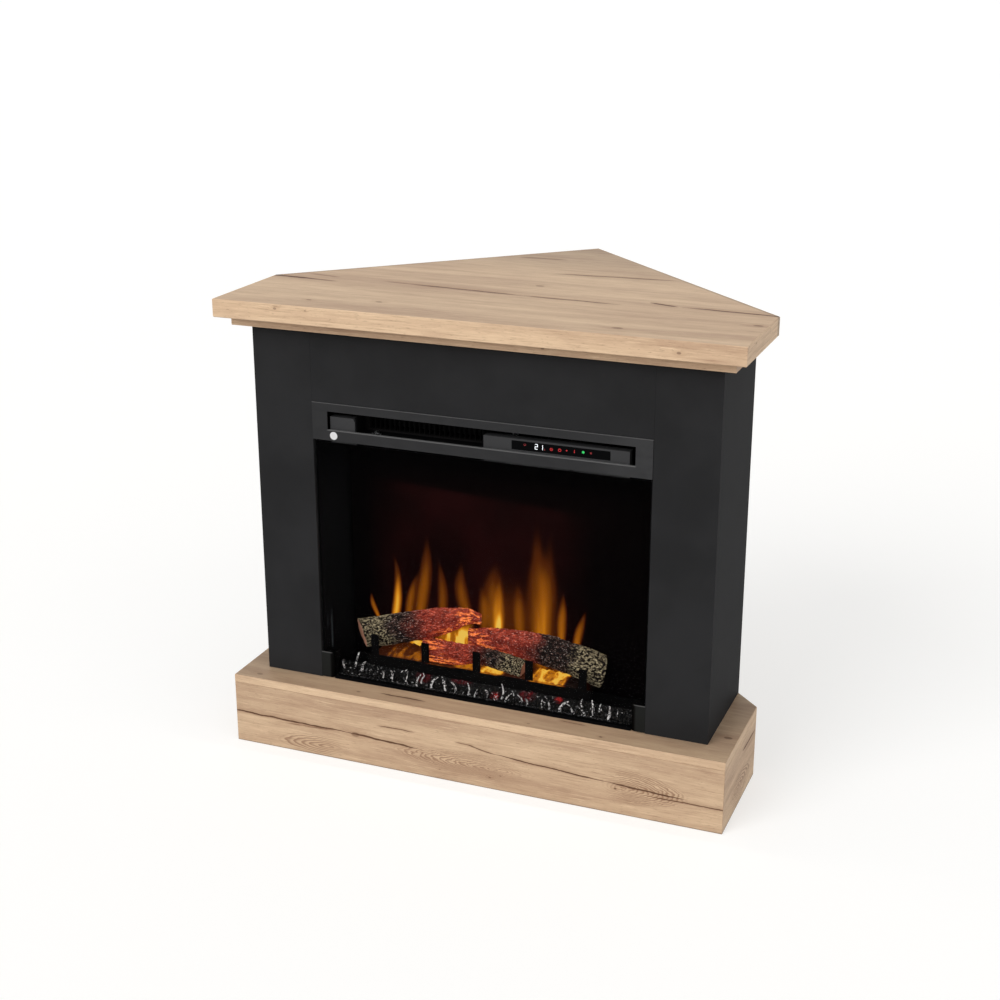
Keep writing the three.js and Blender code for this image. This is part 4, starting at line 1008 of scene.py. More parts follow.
# ------------------------------------------------------------------------------- studio
@dataclass
class Studio:
    """The camera, lamps and floor."""

    camera_place: tuple[float, float, float] = (1.18662, -3.19963, 1.6888)
    camera_pitch: float = math.radians(-19.2229)
    camera_yaw: float = math.radians(21.6974)
    focal_pixels: float = 1631.06
    frame_pixels: float = 1000.0
    sensor: float = 36.0
    floor_reach: float = 60.0

    def build(self) -> None:
        """Make the camera, the lamps, the world and the floor."""
        self._camera()
        self._sun("key_sun", (-0.75, -1.6, 1.05), 1.75, 40.0)
        self._sun("fill_sun", (1.9, -1.2, 0.9), 0.55, 60.0)
        self._glow_lamp()
        self._world()
        self._floor()
        bpy.context.scene.view_settings.view_transform = "Standard"

    def _camera(self) -> None:
        """Place the camera as the photograph was taken."""
        data = bpy.data.cameras.new("camera")
        data.sensor_width = self.sensor
        data.lens = self.focal_pixels / self.frame_pixels * self.sensor
        data.clip_end = 200.0
        camera = link("camera", data)
        camera.location = self.camera_place
        camera.rotation_euler = (math.pi / 2 + self.camera_pitch, 0.0, self.camera_yaw)
        bpy.context.scene.camera = camera

    @staticmethod
    def _sun(name: str, place: tuple[float, float, float], strength: float, spread: float) -> None:
        """Light the scene evenly from one side.

        Args:
            name: The lamp's name.
            place: A place that the light comes from, seen from the middle.
            strength: Its strength.
            spread: How wide the source looks, in degrees.
        """
        data = bpy.data.lights.new(name, "SUN")
        data.energy = strength
        data.angle = math.radians(spread)
        lamp = link(name, data)
        lamp.location = place
        lamp.rotation_euler = (-Vector(place)).to_track_quat("-Z", "Y").to_euler()

    @staticmethod
    def _glow_lamp() -> None:
        """Light the logs and crystals from the top of the fire."""
        data = bpy.data.lights.new("log_lamp", "AREA")
        data.shape = "RECTANGLE"
        data.size, data.size_y = 0.5, 0.02
        data.energy = 1.1
        data.color = (1.0, 0.9, 0.8)
        lamp = link("log_lamp", data)
        lamp.location = (0.0, -0.3, 0.62)
        lamp.visible_camera = False

    @staticmethod
    def _seen(graph: Graph) -> Value:
        """Tell rays that show a surface from those that light it.

        Args:
            graph: The tree that asks.

        Returns:
            1 for a ray of sight, of a mirror or through glass, and 0 for light.
        """
        rays = graph.node("ShaderNodeLightPath", output="Is Camera Ray")
        node = rays.socket.node
        glossy = Value(graph, node.outputs["Is Glossy Ray"])
        through = Value(graph, node.outputs["Is Transmission Ray"])
        return rays.most(glossy).most(through)

    def _world(self) -> None:
        """Light the scene evenly, and show white behind the floor."""
        world = bpy.data.worlds.new("studio_world")
        world.use_nodes = True
        bpy.context.scene.world = world
        graph = Graph(world.node_tree)
        seen = self._seen(graph)
        background = world.node_tree.nodes["Background"]
        strength = seen * 0.45 + 0.55
        graph.tree.links.new(strength.socket, background.inputs["Strength"])
        background.inputs["Color"].default_value = (1.0, 1.0, 1.0, 1.0)

    def _floor(self) -> None:
        """Lay a pale floor that reaches past the view."""
        paint = Paint("pale_floor", Roughness=0.9, Specular_IOR_Level=0.1, Emission_Strength=1.0)
        seen = self._seen(paint)
        paint.set(
            Base_Color=paint.mix(seen, (0.62, 0.61, 0.6, 1.0), (0.5, 0.497, 0.49, 1.0)),
            Emission_Color=paint.mix(seen, BLACK, (0.555, 0.553, 0.546, 1.0)),
        )
        mesh = bmesh.new()
        bmesh.ops.create_grid(mesh, x_segments=1, y_segments=1, size=self.floor_reach)
        bmesh.ops.translate(mesh, verts=mesh.verts, vec=(0.0, 0.0, -0.0005))
        to_object(mesh, "floor", paint.material)


# ------------------------------------------------------------------------------- surround
@dataclass
class Surround:
    """The oak slab, moulding and base, and the black boards between them."""

    oak_nodes: dict[str, Oak] = field(default_factory=lambda: {
        "mantel_top": Oak(
            "oak_mantel", 1.0, top_shade_gain=0.88, back_shade_gain=0.6, rim=401.0,
            light=srgb(227, 197, 162), dark=srgb(190, 158, 129), split=srgb(92, 66, 50),
            cracks=(
                Crack((-610, -142), (-435, -155), 9.0),
                Crack((-520, -150), (-385, -159), 4.5, 0.8),
                Crack((-492, -106), (-400, -118), 4.0, 0.4),
                Crack((-310, -122), (-150, -136), 4.0, 0.5),
                Crack((-240, -128), (40, -151), 6.0, 0.85),
                Crack((10, -149), (250, -158), 5.0, 0.8),
                Crack((278, -116), (350, -138), 7.0, 0.9),
                Crack((335, -134), (640, -150), 6.0, 0.9),
                Crack((-10, 86), (295, 110), 6.5, 0.7),
                Crack((-140, 238), (-10, 242), 6.0, 0.5),
            ),
            knots=(
                Knot((-362, -345), 5, 0.6), Knot((-223, -311), 6, 0.6), Knot((22, -47), 8, 0.5),
                Knot((289, -352), 9, 0.5), Knot((530, -237), 8, 0.6), Knot((-407, 981), 3, 0.5),
                Knot((-339, 982), 2, 0.45), Knot((424, 967), 3.5, 0.6),
            ),
        ),
        "mantel_moulding": Oak("oak_moulding", 9.0, knots=(Knot((150, 944), 3, 0.5),), gain=0.98),
        "base_top": Oak(
            "oak_base_top", 21.0, gain=0.97, top_shade_gain=0.69, back_shade_gain=0.66, split=srgb(84, 58, 42),
            cracks=(Crack((-218, -374), (-98, -376), 4.0, 0.9), Crack((180, -352), (250, -356), 3.0, 0.5)),
            knots=(Knot((-258, -385), 4, 0.5), Knot((-497, -385), 6, 0.4), Knot((527, -301), 7, 0.6),
                   Knot((287, -391), 3, 0.7), Knot((131, -390), 3, 0.4)),
        ),
        "base_front_board": Oak(
            "oak_base_front", 33.0, gain=0.9, split=srgb(92, 62, 42),
            cracks=(
                Crack((-620, 72), (-240, 67), 3.2),
                Crack((-285, 69), (-98, 60), 3.6),
                Crack((-430, 63), (-300, 66), 1.6, 0.6),
                Crack((-210, 98), (-112, 98), 2.0, 0.8),
                Crack((-30, 94), (20, 91), 1.8, 0.7),
                Crack((0, 92), (70, 80), 1.8, 0.8),
                Crack((48, 82), (330, 66), 2.4),
                Crack((300, 68), (482, 60), 3.0),
                Crack((375, 54), (600, 53), 2.2, 0.9),
            ),
            knots=(Knot((-258, 66), 8, 0.5), Knot((325, 56), 2.6, 0.8), Knot((52, 26), 2.4, 0.5),
                   Knot((76, 34), 2, 0.4), Knot((-62, 22), 2, 0.4)),
            rings=(Rings((61, 50), 236, 30, 15), Rings((345, 64), 134, 40, 13, 1.0),
                   Rings((-330, 22), 120, 24, 6)),
        ),
        "base_left_board": Oak("oak_base_left", 47.0, cracks=(Crack((-330, 80), (-200, 92), 2.2, 0.8),)),
        "base_right_board": Oak(
            "oak_base_right", 58.0, gain=0.98, split=srgb(92, 62, 42),
            cracks=(Crack((-265, 111), (-140, 108), 3.0),), rings=(Rings((-300, 40), 130, 36, 8, 1.0),),
        ),
    })

    def build(self) -> None:
        """Dress the boards."""
        for node, oak in self.oak_nodes.items():
            dress([node], oak.build())
            LOG.info("dressed %s in %s", node, oak.name)
        dress(("header_panel", "left_leg_panel", "right_leg_panel", "left_side_panel", "right_side_panel"),
              Board("black_laminate", srgb(38, 38, 39), 0.72, specular=0.06).build())
        dress(("rear_post_left", "rear_post_right", "upper_stretcher", "lower_stretcher",
               "base_rear_left_board", "base_rear_right_board", "base_centre_rib"),
              Board("raw_chipboard", srgb(186, 160, 124), 0.85, grit=0.8).build())


# ------------------------------------------------------------------------------- the fire
@dataclass(frozen=True)
class Bark:
    """Bark of a moulded log: crusty and pale at one end, charred in the middle, aglow at the other."""

    name: str
    pale_from: float
    pale_to: float
    glow_from: float
    glow_to: float
    seed: float

    def build(self) -> bpy.types.Material:
        """Build the material.

        Returns:
            The material.
        """
        paint = Paint(self.name, Specular_IOR_Level=0.1, Emission_Strength=1.0)
        along, groove, under, sawn, ring, run, side, rise = map(paint.attribute, BARK_FACTS)
        place = paint.point(run, side, rise + self.seed)
        here = along + 0.22 * (paint.noise(place, 30.0, 3.0) - 0.5)
        pale = here.smooth(self.pale_from, self.pale_to)
        glow = here.smooth(self.glow_from, self.glow_to)
        span = self.glow_to - self.glow_from
        tip = here.smooth(self.glow_to + 0.6 * span, self.glow_to + 1.6 * span)

        # Fibres and crumbs run along the log.
        fibre = paint.noise(paint.point(run * 95.0, side * 430.0, rise * 430.0), detail=4.0, rough=0.65)
        crumb = paint.noise(paint.point(run * 330.0, side * 560.0, rise * 560.0), detail=3.0, rough=0.6)
        speck = paint.cells(paint.point(run * 260.0, side * 480.0, rise * 480.0)).smooth(0.36, 0.14)
        patch = paint.noise(place, 70.0, 4.0, 0.6)

        char = paint.mix(patch.smooth(0.35, 0.7), srgb(48, 34, 31), srgb(86, 63, 56))
        char = paint.mix(speck * fibre.smooth(0.4, 0.52) * 0.9, char, srgb(216, 206, 200))
        crust = paint.mix(crumb.smooth(0.4, 0.62), srgb(56, 48, 37), srgb(190, 176, 142))
        hot = paint.mix(fibre.smooth(0.38, 0.64), srgb(108, 38, 31), srgb(192, 88, 66))
        hot = paint.mix(0.8 * patch.smooth(0.5, 0.37), hot, srgb(54, 24, 22))
        hot = paint.mix(speck * crumb.smooth(0.4, 0.56) * 0.85, hot, srgb(240, 186, 172))
        bark = paint.mix(glow, paint.mix(pale, char, crust), hot)
        crevice = paint.mix(glow, srgb(15, 11, 9), srgb(76, 20, 14))
        bark = paint.mix(groove.smooth(0.25, 0.85) * (1 - 0.35 * glow), bark, crevice)

        circle = paint.math("FRACT", ring * 420.0 + 0.5 * fibre)
        circle = circle.smooth(0.2, 0.9) * 0.5 + 0.4 * crumb
        color = paint.mix(sawn, bark, paint.mix(circle, srgb(216, 160, 132), srgb(146, 96, 76)))

        # Fire runs in the grooves in flakes at the hot tip. Long streaks along the belly are painted light
        # from the ember bed below.
        flow = paint.point(run * 24.0, side * 125.0, rise * 125.0 + self.seed)
        streak = paint.noise(flow, detail=3.0, rough=0.6).smooth(0.5, 0.58) * fibre.smooth(0.38, 0.52)
        vein = glow * tip * streak
        belly = under.smooth(-0.1, 0.8) * here.smooth(self.glow_to - 0.3 * span, self.glow_to + 0.7 * span)
        ember = paint.mix((vein + belly * streak).least(1.0), srgb(176, 36, 16), srgb(255, 142, 66))
        # Painted light: the whole bark glows at a tenth of its colour, the hot end a little more, and the
        # belly where the ember bed's light falls on it.
        shine = glow * (0.06 + 0.12 * patch) + 0.95 * vein + belly * (0.16 + 1.1 * streak)
        lit = paint.mix(shine.least(1.0) * (1 - sawn), paint.mix(0.1, BLACK, color), ember)
        paint.set(Base_Color=color, Emission_Color=lit, Roughness=0.75 + 0.2 * crumb)
        paint.bump((1 - groove) * 0.5 + 0.5 * crumb, 0.0009, 0.7)
        return paint.material


@dataclass(frozen=True)
class Log:
    """One moulded log: places along its middle with a radius at each, in millimetres of the fire."""

    node: str
    stations: tuple[tuple[float, float, float, float], ...]
    slant: tuple[float, float]
    phase: float
    bark: Bark
    rings: int = 250
    sides: int = 150
    cap_rings: int = 7

    def build(self) -> None:
        """Build the log in place of its plain solid."""
        mesh = bmesh.new()
        layers = {word: mesh.verts.layers.float.new(word) for word in BARK_FACTS}
        rims: dict[int, list[bmesh.types.BMVert]] = {}
        last: list[bmesh.types.BMVert] = []
        for i in range(self.rings + 1):
            t = i / self.rings
            now = [self._bark_point(mesh, layers, t, j / self.sides * math.tau) for j in range(self.sides)]
            for j in range(self.sides if last else 0):
                k = (j + 1) % self.sides
                mesh.faces.new((last[j], last[k], now[k], now[j]))
            if i in (0, self.rings):
                rims[i] = now
            last = now
        for i, rim in rims.items():
            self._cap(mesh, layers, rim, i > 0)
        bmesh.ops.recalc_face_normals(mesh, faces=mesh.faces)
        piece = to_object(mesh, self.node.replace("log_", "bark_log_"), self.bark.build())
        smooth_by_angle(piece, 55.0)
        settle(piece, "bark", self.node)

    def _place(self, t: float) -> tuple[Vector, Vector, float]:
        """Return the middle, the direction and the radius at a share of the length.

        Args:
            t: The share.

        Returns:
            The three.
        """
        back, here, ahead = (self._spline(min(1.0, max(0.0, t + step))) for step in (-0.004, 0.0, 0.004))
        return Vector(here[:3]), (Vector(ahead[:3]) - Vector(back[:3])).normalized(), here[3]

    def _spline(self, t: float) -> list[float]:
        """Run a Catmull-Rom curve through the stations.

        Args:
            t: The share of its length.

        Returns:
            The x, y, z and radius there.
        """
        spans = len(self.stations) - 1
        k = min(int(t * spans), spans - 1)
        u = t * spans - k
        p1, p2 = self.stations[k], self.stations[k + 1]
        p0 = self.stations[k - 1] if k else [2 * a - b for a, b in zip(p1, p2)]
        p3 = self.stations[k + 2] if k + 2 <= spans else [2 * b - a for a, b in zip(p1, p2)]
        return [
            b + 0.5 * ((c - a) * u + (2 * a - 5 * b + 4 * c - d) * u * u + (3 * b - a - 3 * c + d) * u ** 3)
            for a, b, c, d in zip(p0, p1, p2, p3)
        ]

    def _bark_point(
        self, mesh: bmesh.types.BMesh, layers: dict[str, object], t: float, angle: float
    ) -> bmesh.types.BMVert:
        """Add one point of the bark, sunk where a fissure runs.

        Args:
            mesh: The log's mesh.
            layers: The mesh's layers, by name.
            t: The share of the length.
            angle: The angle round the log, in radians.

        Returns:
            The point.
        """
        centre, along, radius = self._place(t)
        across = along.cross(Vector((0, 0, 1))).normalized()
        raised = across.cross(along)
        out = across * math.cos(angle) + raised * math.sin(angle)
        ridge = (1 + 0.035 * math.sin(5 * angle + 7 * t + self.phase)
                 + 0.03 * math.sin(3 * angle - 11 * t + 2 * self.phase) + 0.02 * math.sin(8 * angle + 19 * t))
        lead = self.slant[0] * max(0.0, 1 - 5 * t) + self.slant[1] * max(0.0, 1 - 5 * (1 - t))
        point = centre + out * (radius * ridge) + along * (lead * math.cos(angle))
        # Plates stretched along the log, or a crust of worm-like ridges at its pale end, on slow lumps.
        length = sum((Vector(b[:3]) - Vector(a[:3])).length for a, b in zip(self.stations, self.stations[1:]))
        flat = Vector((t * length, math.cos(angle) * radius, math.sin(angle) * radius))
        bent = flat + 5.0 * noise.noise_vector(flat / 14.0)
        near = noise.voronoi(Vector((bent.x / 10.0, bent.y / 4.4, bent.z / 4.4 + self.phase)))[0]
        worm = noise.noise(Vector((bent.x / 4.4, bent.y / 2.6, bent.z / 2.6 + 9 * self.phase)))
        share = ease((t - self.bark.pale_from) / (self.bark.pale_to - self.bark.pale_from))
        plate = ease((near[1] - near[0] - 0.08) / 0.34) * (1 - share) + ease((worm + 0.07) / 0.24) * share
        lump = noise.fractal(point / 16.0, 0.9, 2.1, 3)
        sink = -1.6 * (1 - plate) + 1.1 * lump - 0.2
        vert = mesh.verts.new(self._world(point + out * sink))
        facts = {"along": t, "groove": 1 - plate, "under": -out.z,
                 "run": flat.x * MM, "side": flat.y * MM, "rise": flat.z * MM}
        for word, value in facts.items():
            vert[layers[word]] = value
        return vert

    def _cap(
        self, mesh: bmesh.types.BMesh, layers: dict[str, object], rim: list[bmesh.types.BMVert], far: bool
    ) -> None:
        """Close an end with a sawn face.

        Args:
            mesh: The log's mesh.
            layers: The mesh's layers, by name.
            rim: The end's points.
            far: Whether it is the end at the length's full share.
        """
        hub_place = sum((v.co for v in rim), Vector()) / len(rim)
        outer = rim
        for step in range(1, self.cap_rings):
            share = 1 - (0.03 if step == 1 else step / self.cap_rings)
            inner = []
            for v in rim:
                point = hub_place.lerp(v.co, share)
                w = mesh.verts.new(point)
                w[layers["along"]] = 1.0 if far else 0.0
                w[layers["sawn"]] = 1.0
                w[layers["ring"]] = (point - hub_place).length
                inner.append(w)
            for j in range(len(rim)):
                k = (j + 1) % len(rim)
                mesh.faces.new((outer[j], outer[k], inner[k], inner[j]))
            outer = inner
        hub = mesh.verts.new(hub_place)
        hub[layers["sawn"]] = 1.0
        for j in range(len(rim)):
            mesh.faces.new((outer[j], outer[(j + 1) % len(rim)], hub))

    @staticmethod
    def _world(point: Vector) -> Vector:
        """Turn a place in the fire, in millimetres, into one in the scene, in metres."""
        return Vector((point.x, point.y + FIRE_FRONT, point.z + FIRE_FLOOR)) * MM


@dataclass
class EmberBed:
    """The lumps of ember behind the grate, lit from beneath."""

    x: tuple[float, float] = (-263.0, 199.0)
    y: tuple[float, float] = (-299.7, -233.9)
    bottom: float = 190.0
    level: float = 208.0
    columns: int = 330
    rows: int = 48

    def build(self) -> None:
        """Build the bed in place of its plain solid."""
        mesh = bmesh.new()
        across = range(self.rows + 1)
        quilt(mesh, [[mesh.verts.new(self._point(i, j)) for j in across] for i in range(self.columns + 1)])
        close_below(mesh, self.bottom * MM)
        piece = to_object(mesh, "ember_lumps", self._paint())
        smooth_by_angle(piece)
        settle(piece, "ember", "ember_bed")

    def _point(self, i: int, j: int) -> Vector:
        """Return a point of the bed's top.

        Args:
            i: Its column.
            j: Its row.

        Returns:
            Its place, in metres.
        """
        x = self.x[0] + (self.x[1] - self.x[0]) * i / self.columns
        y = self.y[0] + (self.y[1] - self.y[0]) * j / self.rows
        near = noise.voronoi(Vector((x / 15.0, y / 13.0, 2.0)))[0]
        lump = 3.5 * min(1.0, (near[1] - near[0]) * 2.2)
        lump += 1.5 * noise.noise(Vector((x / 6.0, y / 6.0, 0.0)))
        rise = 11 * math.exp(-(((x + 212) / 45) ** 2)) * min(1.0, j / self.rows)
        return Vector((x, y, self.level - 2.0 + lump + rise)) * MM

    def _paint(self) -> bpy.types.Material:
        """Build the glow, in streaks that run away from the eye like flames seen low down."""
        paint = Paint("ember_glow", Roughness=0.75, Specular_IOR_Level=0.1, Emission_Strength=1.0)
        streak = paint.noise(paint.point(paint.x * 70.0, paint.y * 14.0, 1.0), detail=2.0, rough=0.55)
        blot = paint.noise(paint.point(paint.x * 95.0, paint.y * 60.0, 4.0), detail=2.0)
        lumps = streak.smooth(0.38, 0.58)
        # What each gap between the grate's posts shows: dull red, amber, orange, and two of bright yellow.
        amber = paint.x.window((-0.238, -0.226), (-0.156, -0.146)) * (0.112 + 0.224 * lumps)
        amber = amber * (0.35 + 0.65 * paint.y.smooth(-0.248, -0.268))
        orange = paint.x.window((-0.085, -0.07), (-0.03, -0.02)) * 0.42
        gold = paint.x.window((-0.024, -0.014), (0.026, 0.04)) * (0.5 + 0.4 * lumps)
        yellow = paint.x.window((0.085, 0.104), (0.164, 0.176)) * (0.5 + 0.46 * lumps)
        mottle = (0.72 + 0.4 * blot.smooth(0.36, 0.56)) * (0.45 + 0.55 * paint.y.smooth(-0.298, -0.286))
        heat = (amber + orange + gold + yellow) * mottle + 0.1 * paint.x.smooth(0.12, 0.08)
        paint.set(
            Base_Color=paint.mix(streak, srgb(14, 7, 5), srgb(30, 13, 7)),
            Emission_Color=heat.least(0.9).ramp(HEAT),
        )
        paint.bump(blot, 0.001, 0.5)
        return paint.material


@dataclass
class Crystals:
    """The bank of black glass in front of the grate, with pale horns that stand in it."""

    x: tuple[float, float] = (-333.0, 333.0)
    y: tuple[float, float] = (-335.2, -304.6)
    bottom: float = 161.2
    low: float = 166.0
    high: float = 185.0
    columns: int = 360
    rows: int = 22
    horns: tuple[tuple[float, float, float], ...] = (
        (-322, -318, 24), (-300, -312, 30), (-281, -318, 27), (-262, -322, 14), (-229, -326, 24),
        (-210, -322, 29), (-203, -330, 16), (-175, -328, 20), (-146, -330, 27), (-138, -323, 18),
        (-114, -327, 26), (-78, -331, 20), (-58, -326, 26), (-29, -330, 26), (-12, -332, 16),
        (12, -326, 28), (33, -332, 13), (46, -325, 31), (57, -329, 24), (93, -325, 21),
        (106, -329, 24), (138, -327, 17), (153, -328, 27), (178, -330, 29), (203, -327, 24),
        (210, -332, 15), (232, -331, 22), (247, -324, 25), (260, -318, 16), (282, -329, 29),
        (300, -320, 12), (-246, -316, 12), (-92, -316, 13), (70, -315, 14), (222, -314, 16),
    )
    glows: tuple[tuple[float, float, float, float, float], ...] = (
        (-138, -308, 22, 17, 0.3), (-52, -308, 30, 6, 0.3), (30, -322, 13, 9, 0.75),
        (99, -311, 22, 14, 0.42), (168, -310, 12, 8, 0.6),
    )

    def build(self) -> None:
        """Build the bank, its chips, its grit and its horns."""
        settle(self._bank(), "crystal", "crystal_bed")
        front, back = self.y
        for stones, y0, y1, lift in (
            (Scatter("crystal_chips", 5, 24000.0, (0.0016, 0.0042), (0.7, 0.7, 1.25),
                     self._dark_glass("chip_glass", 0.05)), front, back, 0.5),
            (Scatter("crystal_grit", 9, 190000.0, (0.0006, 0.0013), (1.0, 1.0, 0.8),
                     self._grit()), front, front + 4.5, 0.6),
            (Scatter("crystal_shards", 21, 3200.0, (0.0018, 0.004), (0.3, 0.3, 1.3),
                     self._pale_glass("shard_glass")), front + 2.0, back, 1.5),
        ):
            settle(stones.over(self._strip(stones.name + "_strip", y0, y1, lift)), "crystal")
        settle(self._horns(), "crystal")

    def _height(self, x: float, y: float) -> float:
        """Return the bank's height at a place, level for its first part and then rising.

        Args:
            x: The place along the fire, in millimetres.
            y: The place from front to back, in millimetres.

        Returns:
            The height, in millimetres.
        """
        level = 0.22
        share = (y - self.y[0]) / (self.y[1] - self.y[0])
        rise = (self.high - self.low) * max(0.0, share - level) / (1 - level)
        return self.low + rise + noise.noise(Vector((x / 9, y / 9, 0)))

    def _bank(self) -> bpy.types.Object:
        """Make the sloping bed of broken glass.

        Returns:
            The bed.
        """
        mesh = bmesh.new()
        grid = []
        for i in range(self.columns + 1):
            x = self.x[0] + (self.x[1] - self.x[0]) * i / self.columns
            line = []
            for j in range(self.rows + 1):
                y = self.y[0] + (self.y[1] - self.y[0]) * j / self.rows
                near = noise.voronoi(Vector((x / 5.5, y / 5.5, 1.0)))[0]
                top = self._height(x, y) + 2.2 * (near[1] - near[0])
                line.append(mesh.verts.new(Vector((x, y, top)) * MM))
            grid.append(line)
        quilt(mesh, grid)
        close_below(mesh, self.bottom * MM)
        return to_object(mesh, "crystal_bank", self._dark_glass("bank_glass", 0.006))

    def _strip(self, name: str, y0: float, y1: float, lift: float) -> bpy.types.Object:
        """Make an open strip on the bank for small things to be scattered over.

        Args:
            name: The strip's name.
            y0: Its front, in millimetres.
            y1: Its back, in millimetres.
            lift: Its height over the bank, in millimetres.

        Returns:
            The strip.
        """
        mesh = bmesh.new()
        steps, inset = 60, 3
        span = self.x[1] - self.x[0] - 2 * inset
        quilt(mesh, [
            [mesh.verts.new(Vector((x, y, self._height(x, y) + lift)) * MM) for y in (y0, (y0 + y1) / 2, y1)]
            for x in (self.x[0] + inset + span * i / steps for i in range(steps + 1))
        ])
        return to_object(mesh, name, self._grit())

    def _horns(self) -> bpy.types.Object:
        """Stand the curled horns at their places.

        Returns:
            The horns.
        """
        mesh = bmesh.new()
        size = mesh.verts.layers.float.new("size")
        for x, y, tall in self.horns:
            vert = mesh.verts.new(Vector((x, y, self._height(x, y) - 1.0)) * MM)
            vert[size] = 1.2 * tall * MM
        places = to_object(mesh, "horn_places", self._grit())
        return Horns("crystal_horns", 12, self._pale_glass("pale_glass")).at(places)

    def _dark_glass(self, name: str, shade: float) -> bpy.types.Material:
        """Build the finish of black glass with a few pale chips, and the red lamps that show through it.

        Args:
            name: The material's name.
            shade: How light the glass is.

        Returns:
            The material.
        """
        paint = Paint(name, Emission_Strength=1.0, Specular_IOR_Level=0.08)
        cloud = paint.noise(paint.place, 180.0, 2.0)
        pale = paint.noise(paint.place, 150.0, 3.0, 0.6).smooth(0.58, 0.66)
        ragged = paint.noise(paint.place, 130.0, 2.0).smooth(0.42, 0.56)
        red: Value | float = 0.0
        for x, y, wide, deep, gain in self.glows:
            du, dv = paint.x.scaled(x, wide), paint.y.scaled(y, deep)
            red = (du * du + dv * dv).smooth(1.0, 0.1) * gain + red
        red = red * (0.25 + 0.75 * ragged)
        black = (shade * 0.1, shade * 0.1, shade * 0.1, 1.0)
        paint.set(
            Base_Color=paint.mix(pale * cloud, black, (shade * 5, shade * 5, shade * 5.2, 1.0)),
            Roughness=0.2 + 0.25 * cloud,
            Emission_Color=red.ramp((
                (0.0, BLACK), (0.35, (0.07, 0.002, 0.004, 1.0)), (1.0, (0.6, 0.02, 0.012, 1.0)),
            )),
        )
        return paint.material

    @staticmethod
    def _grit() -> bpy.types.Material:
        """Build the finish of fine grey grit.

        Returns:
            The material.
        """
        paint = Paint("grey_grit", Roughness=0.6, Specular_IOR_Level=0.1)
        grain = paint.noise(paint.place, 700.0, 2.0)
        paint.set(Base_Color=paint.mix(grain.smooth(0.4, 0.62), srgb(14, 14, 15), srgb(112, 112, 114)))
        return paint.material

    @staticmethod
    def _pale_glass(name: str) -> bpy.types.Material:
        """Build the finish of the horns and shards, milky with clear black patches.

        Args:
            name: The material's name.

        Returns:
            The material.
        """
        paint = Paint(name, Roughness=0.25, Specular_IOR_Level=0.3, Emission_Strength=1.0)
        cloud = paint.noise(paint.place, 260.0, 3.0)
        body = cloud.smooth(0.43, 0.57)
        color = paint.mix(body, srgb(26, 26, 28), srgb(226, 224, 224))
        # The horns and shards also glow at 12% of their colour: painted light.
        paint.set(Base_Color=color, Emission_Color=paint.mix(0.12, BLACK, color))
        paint.bump(cloud, 0.0008, 0.6)
        return paint.material


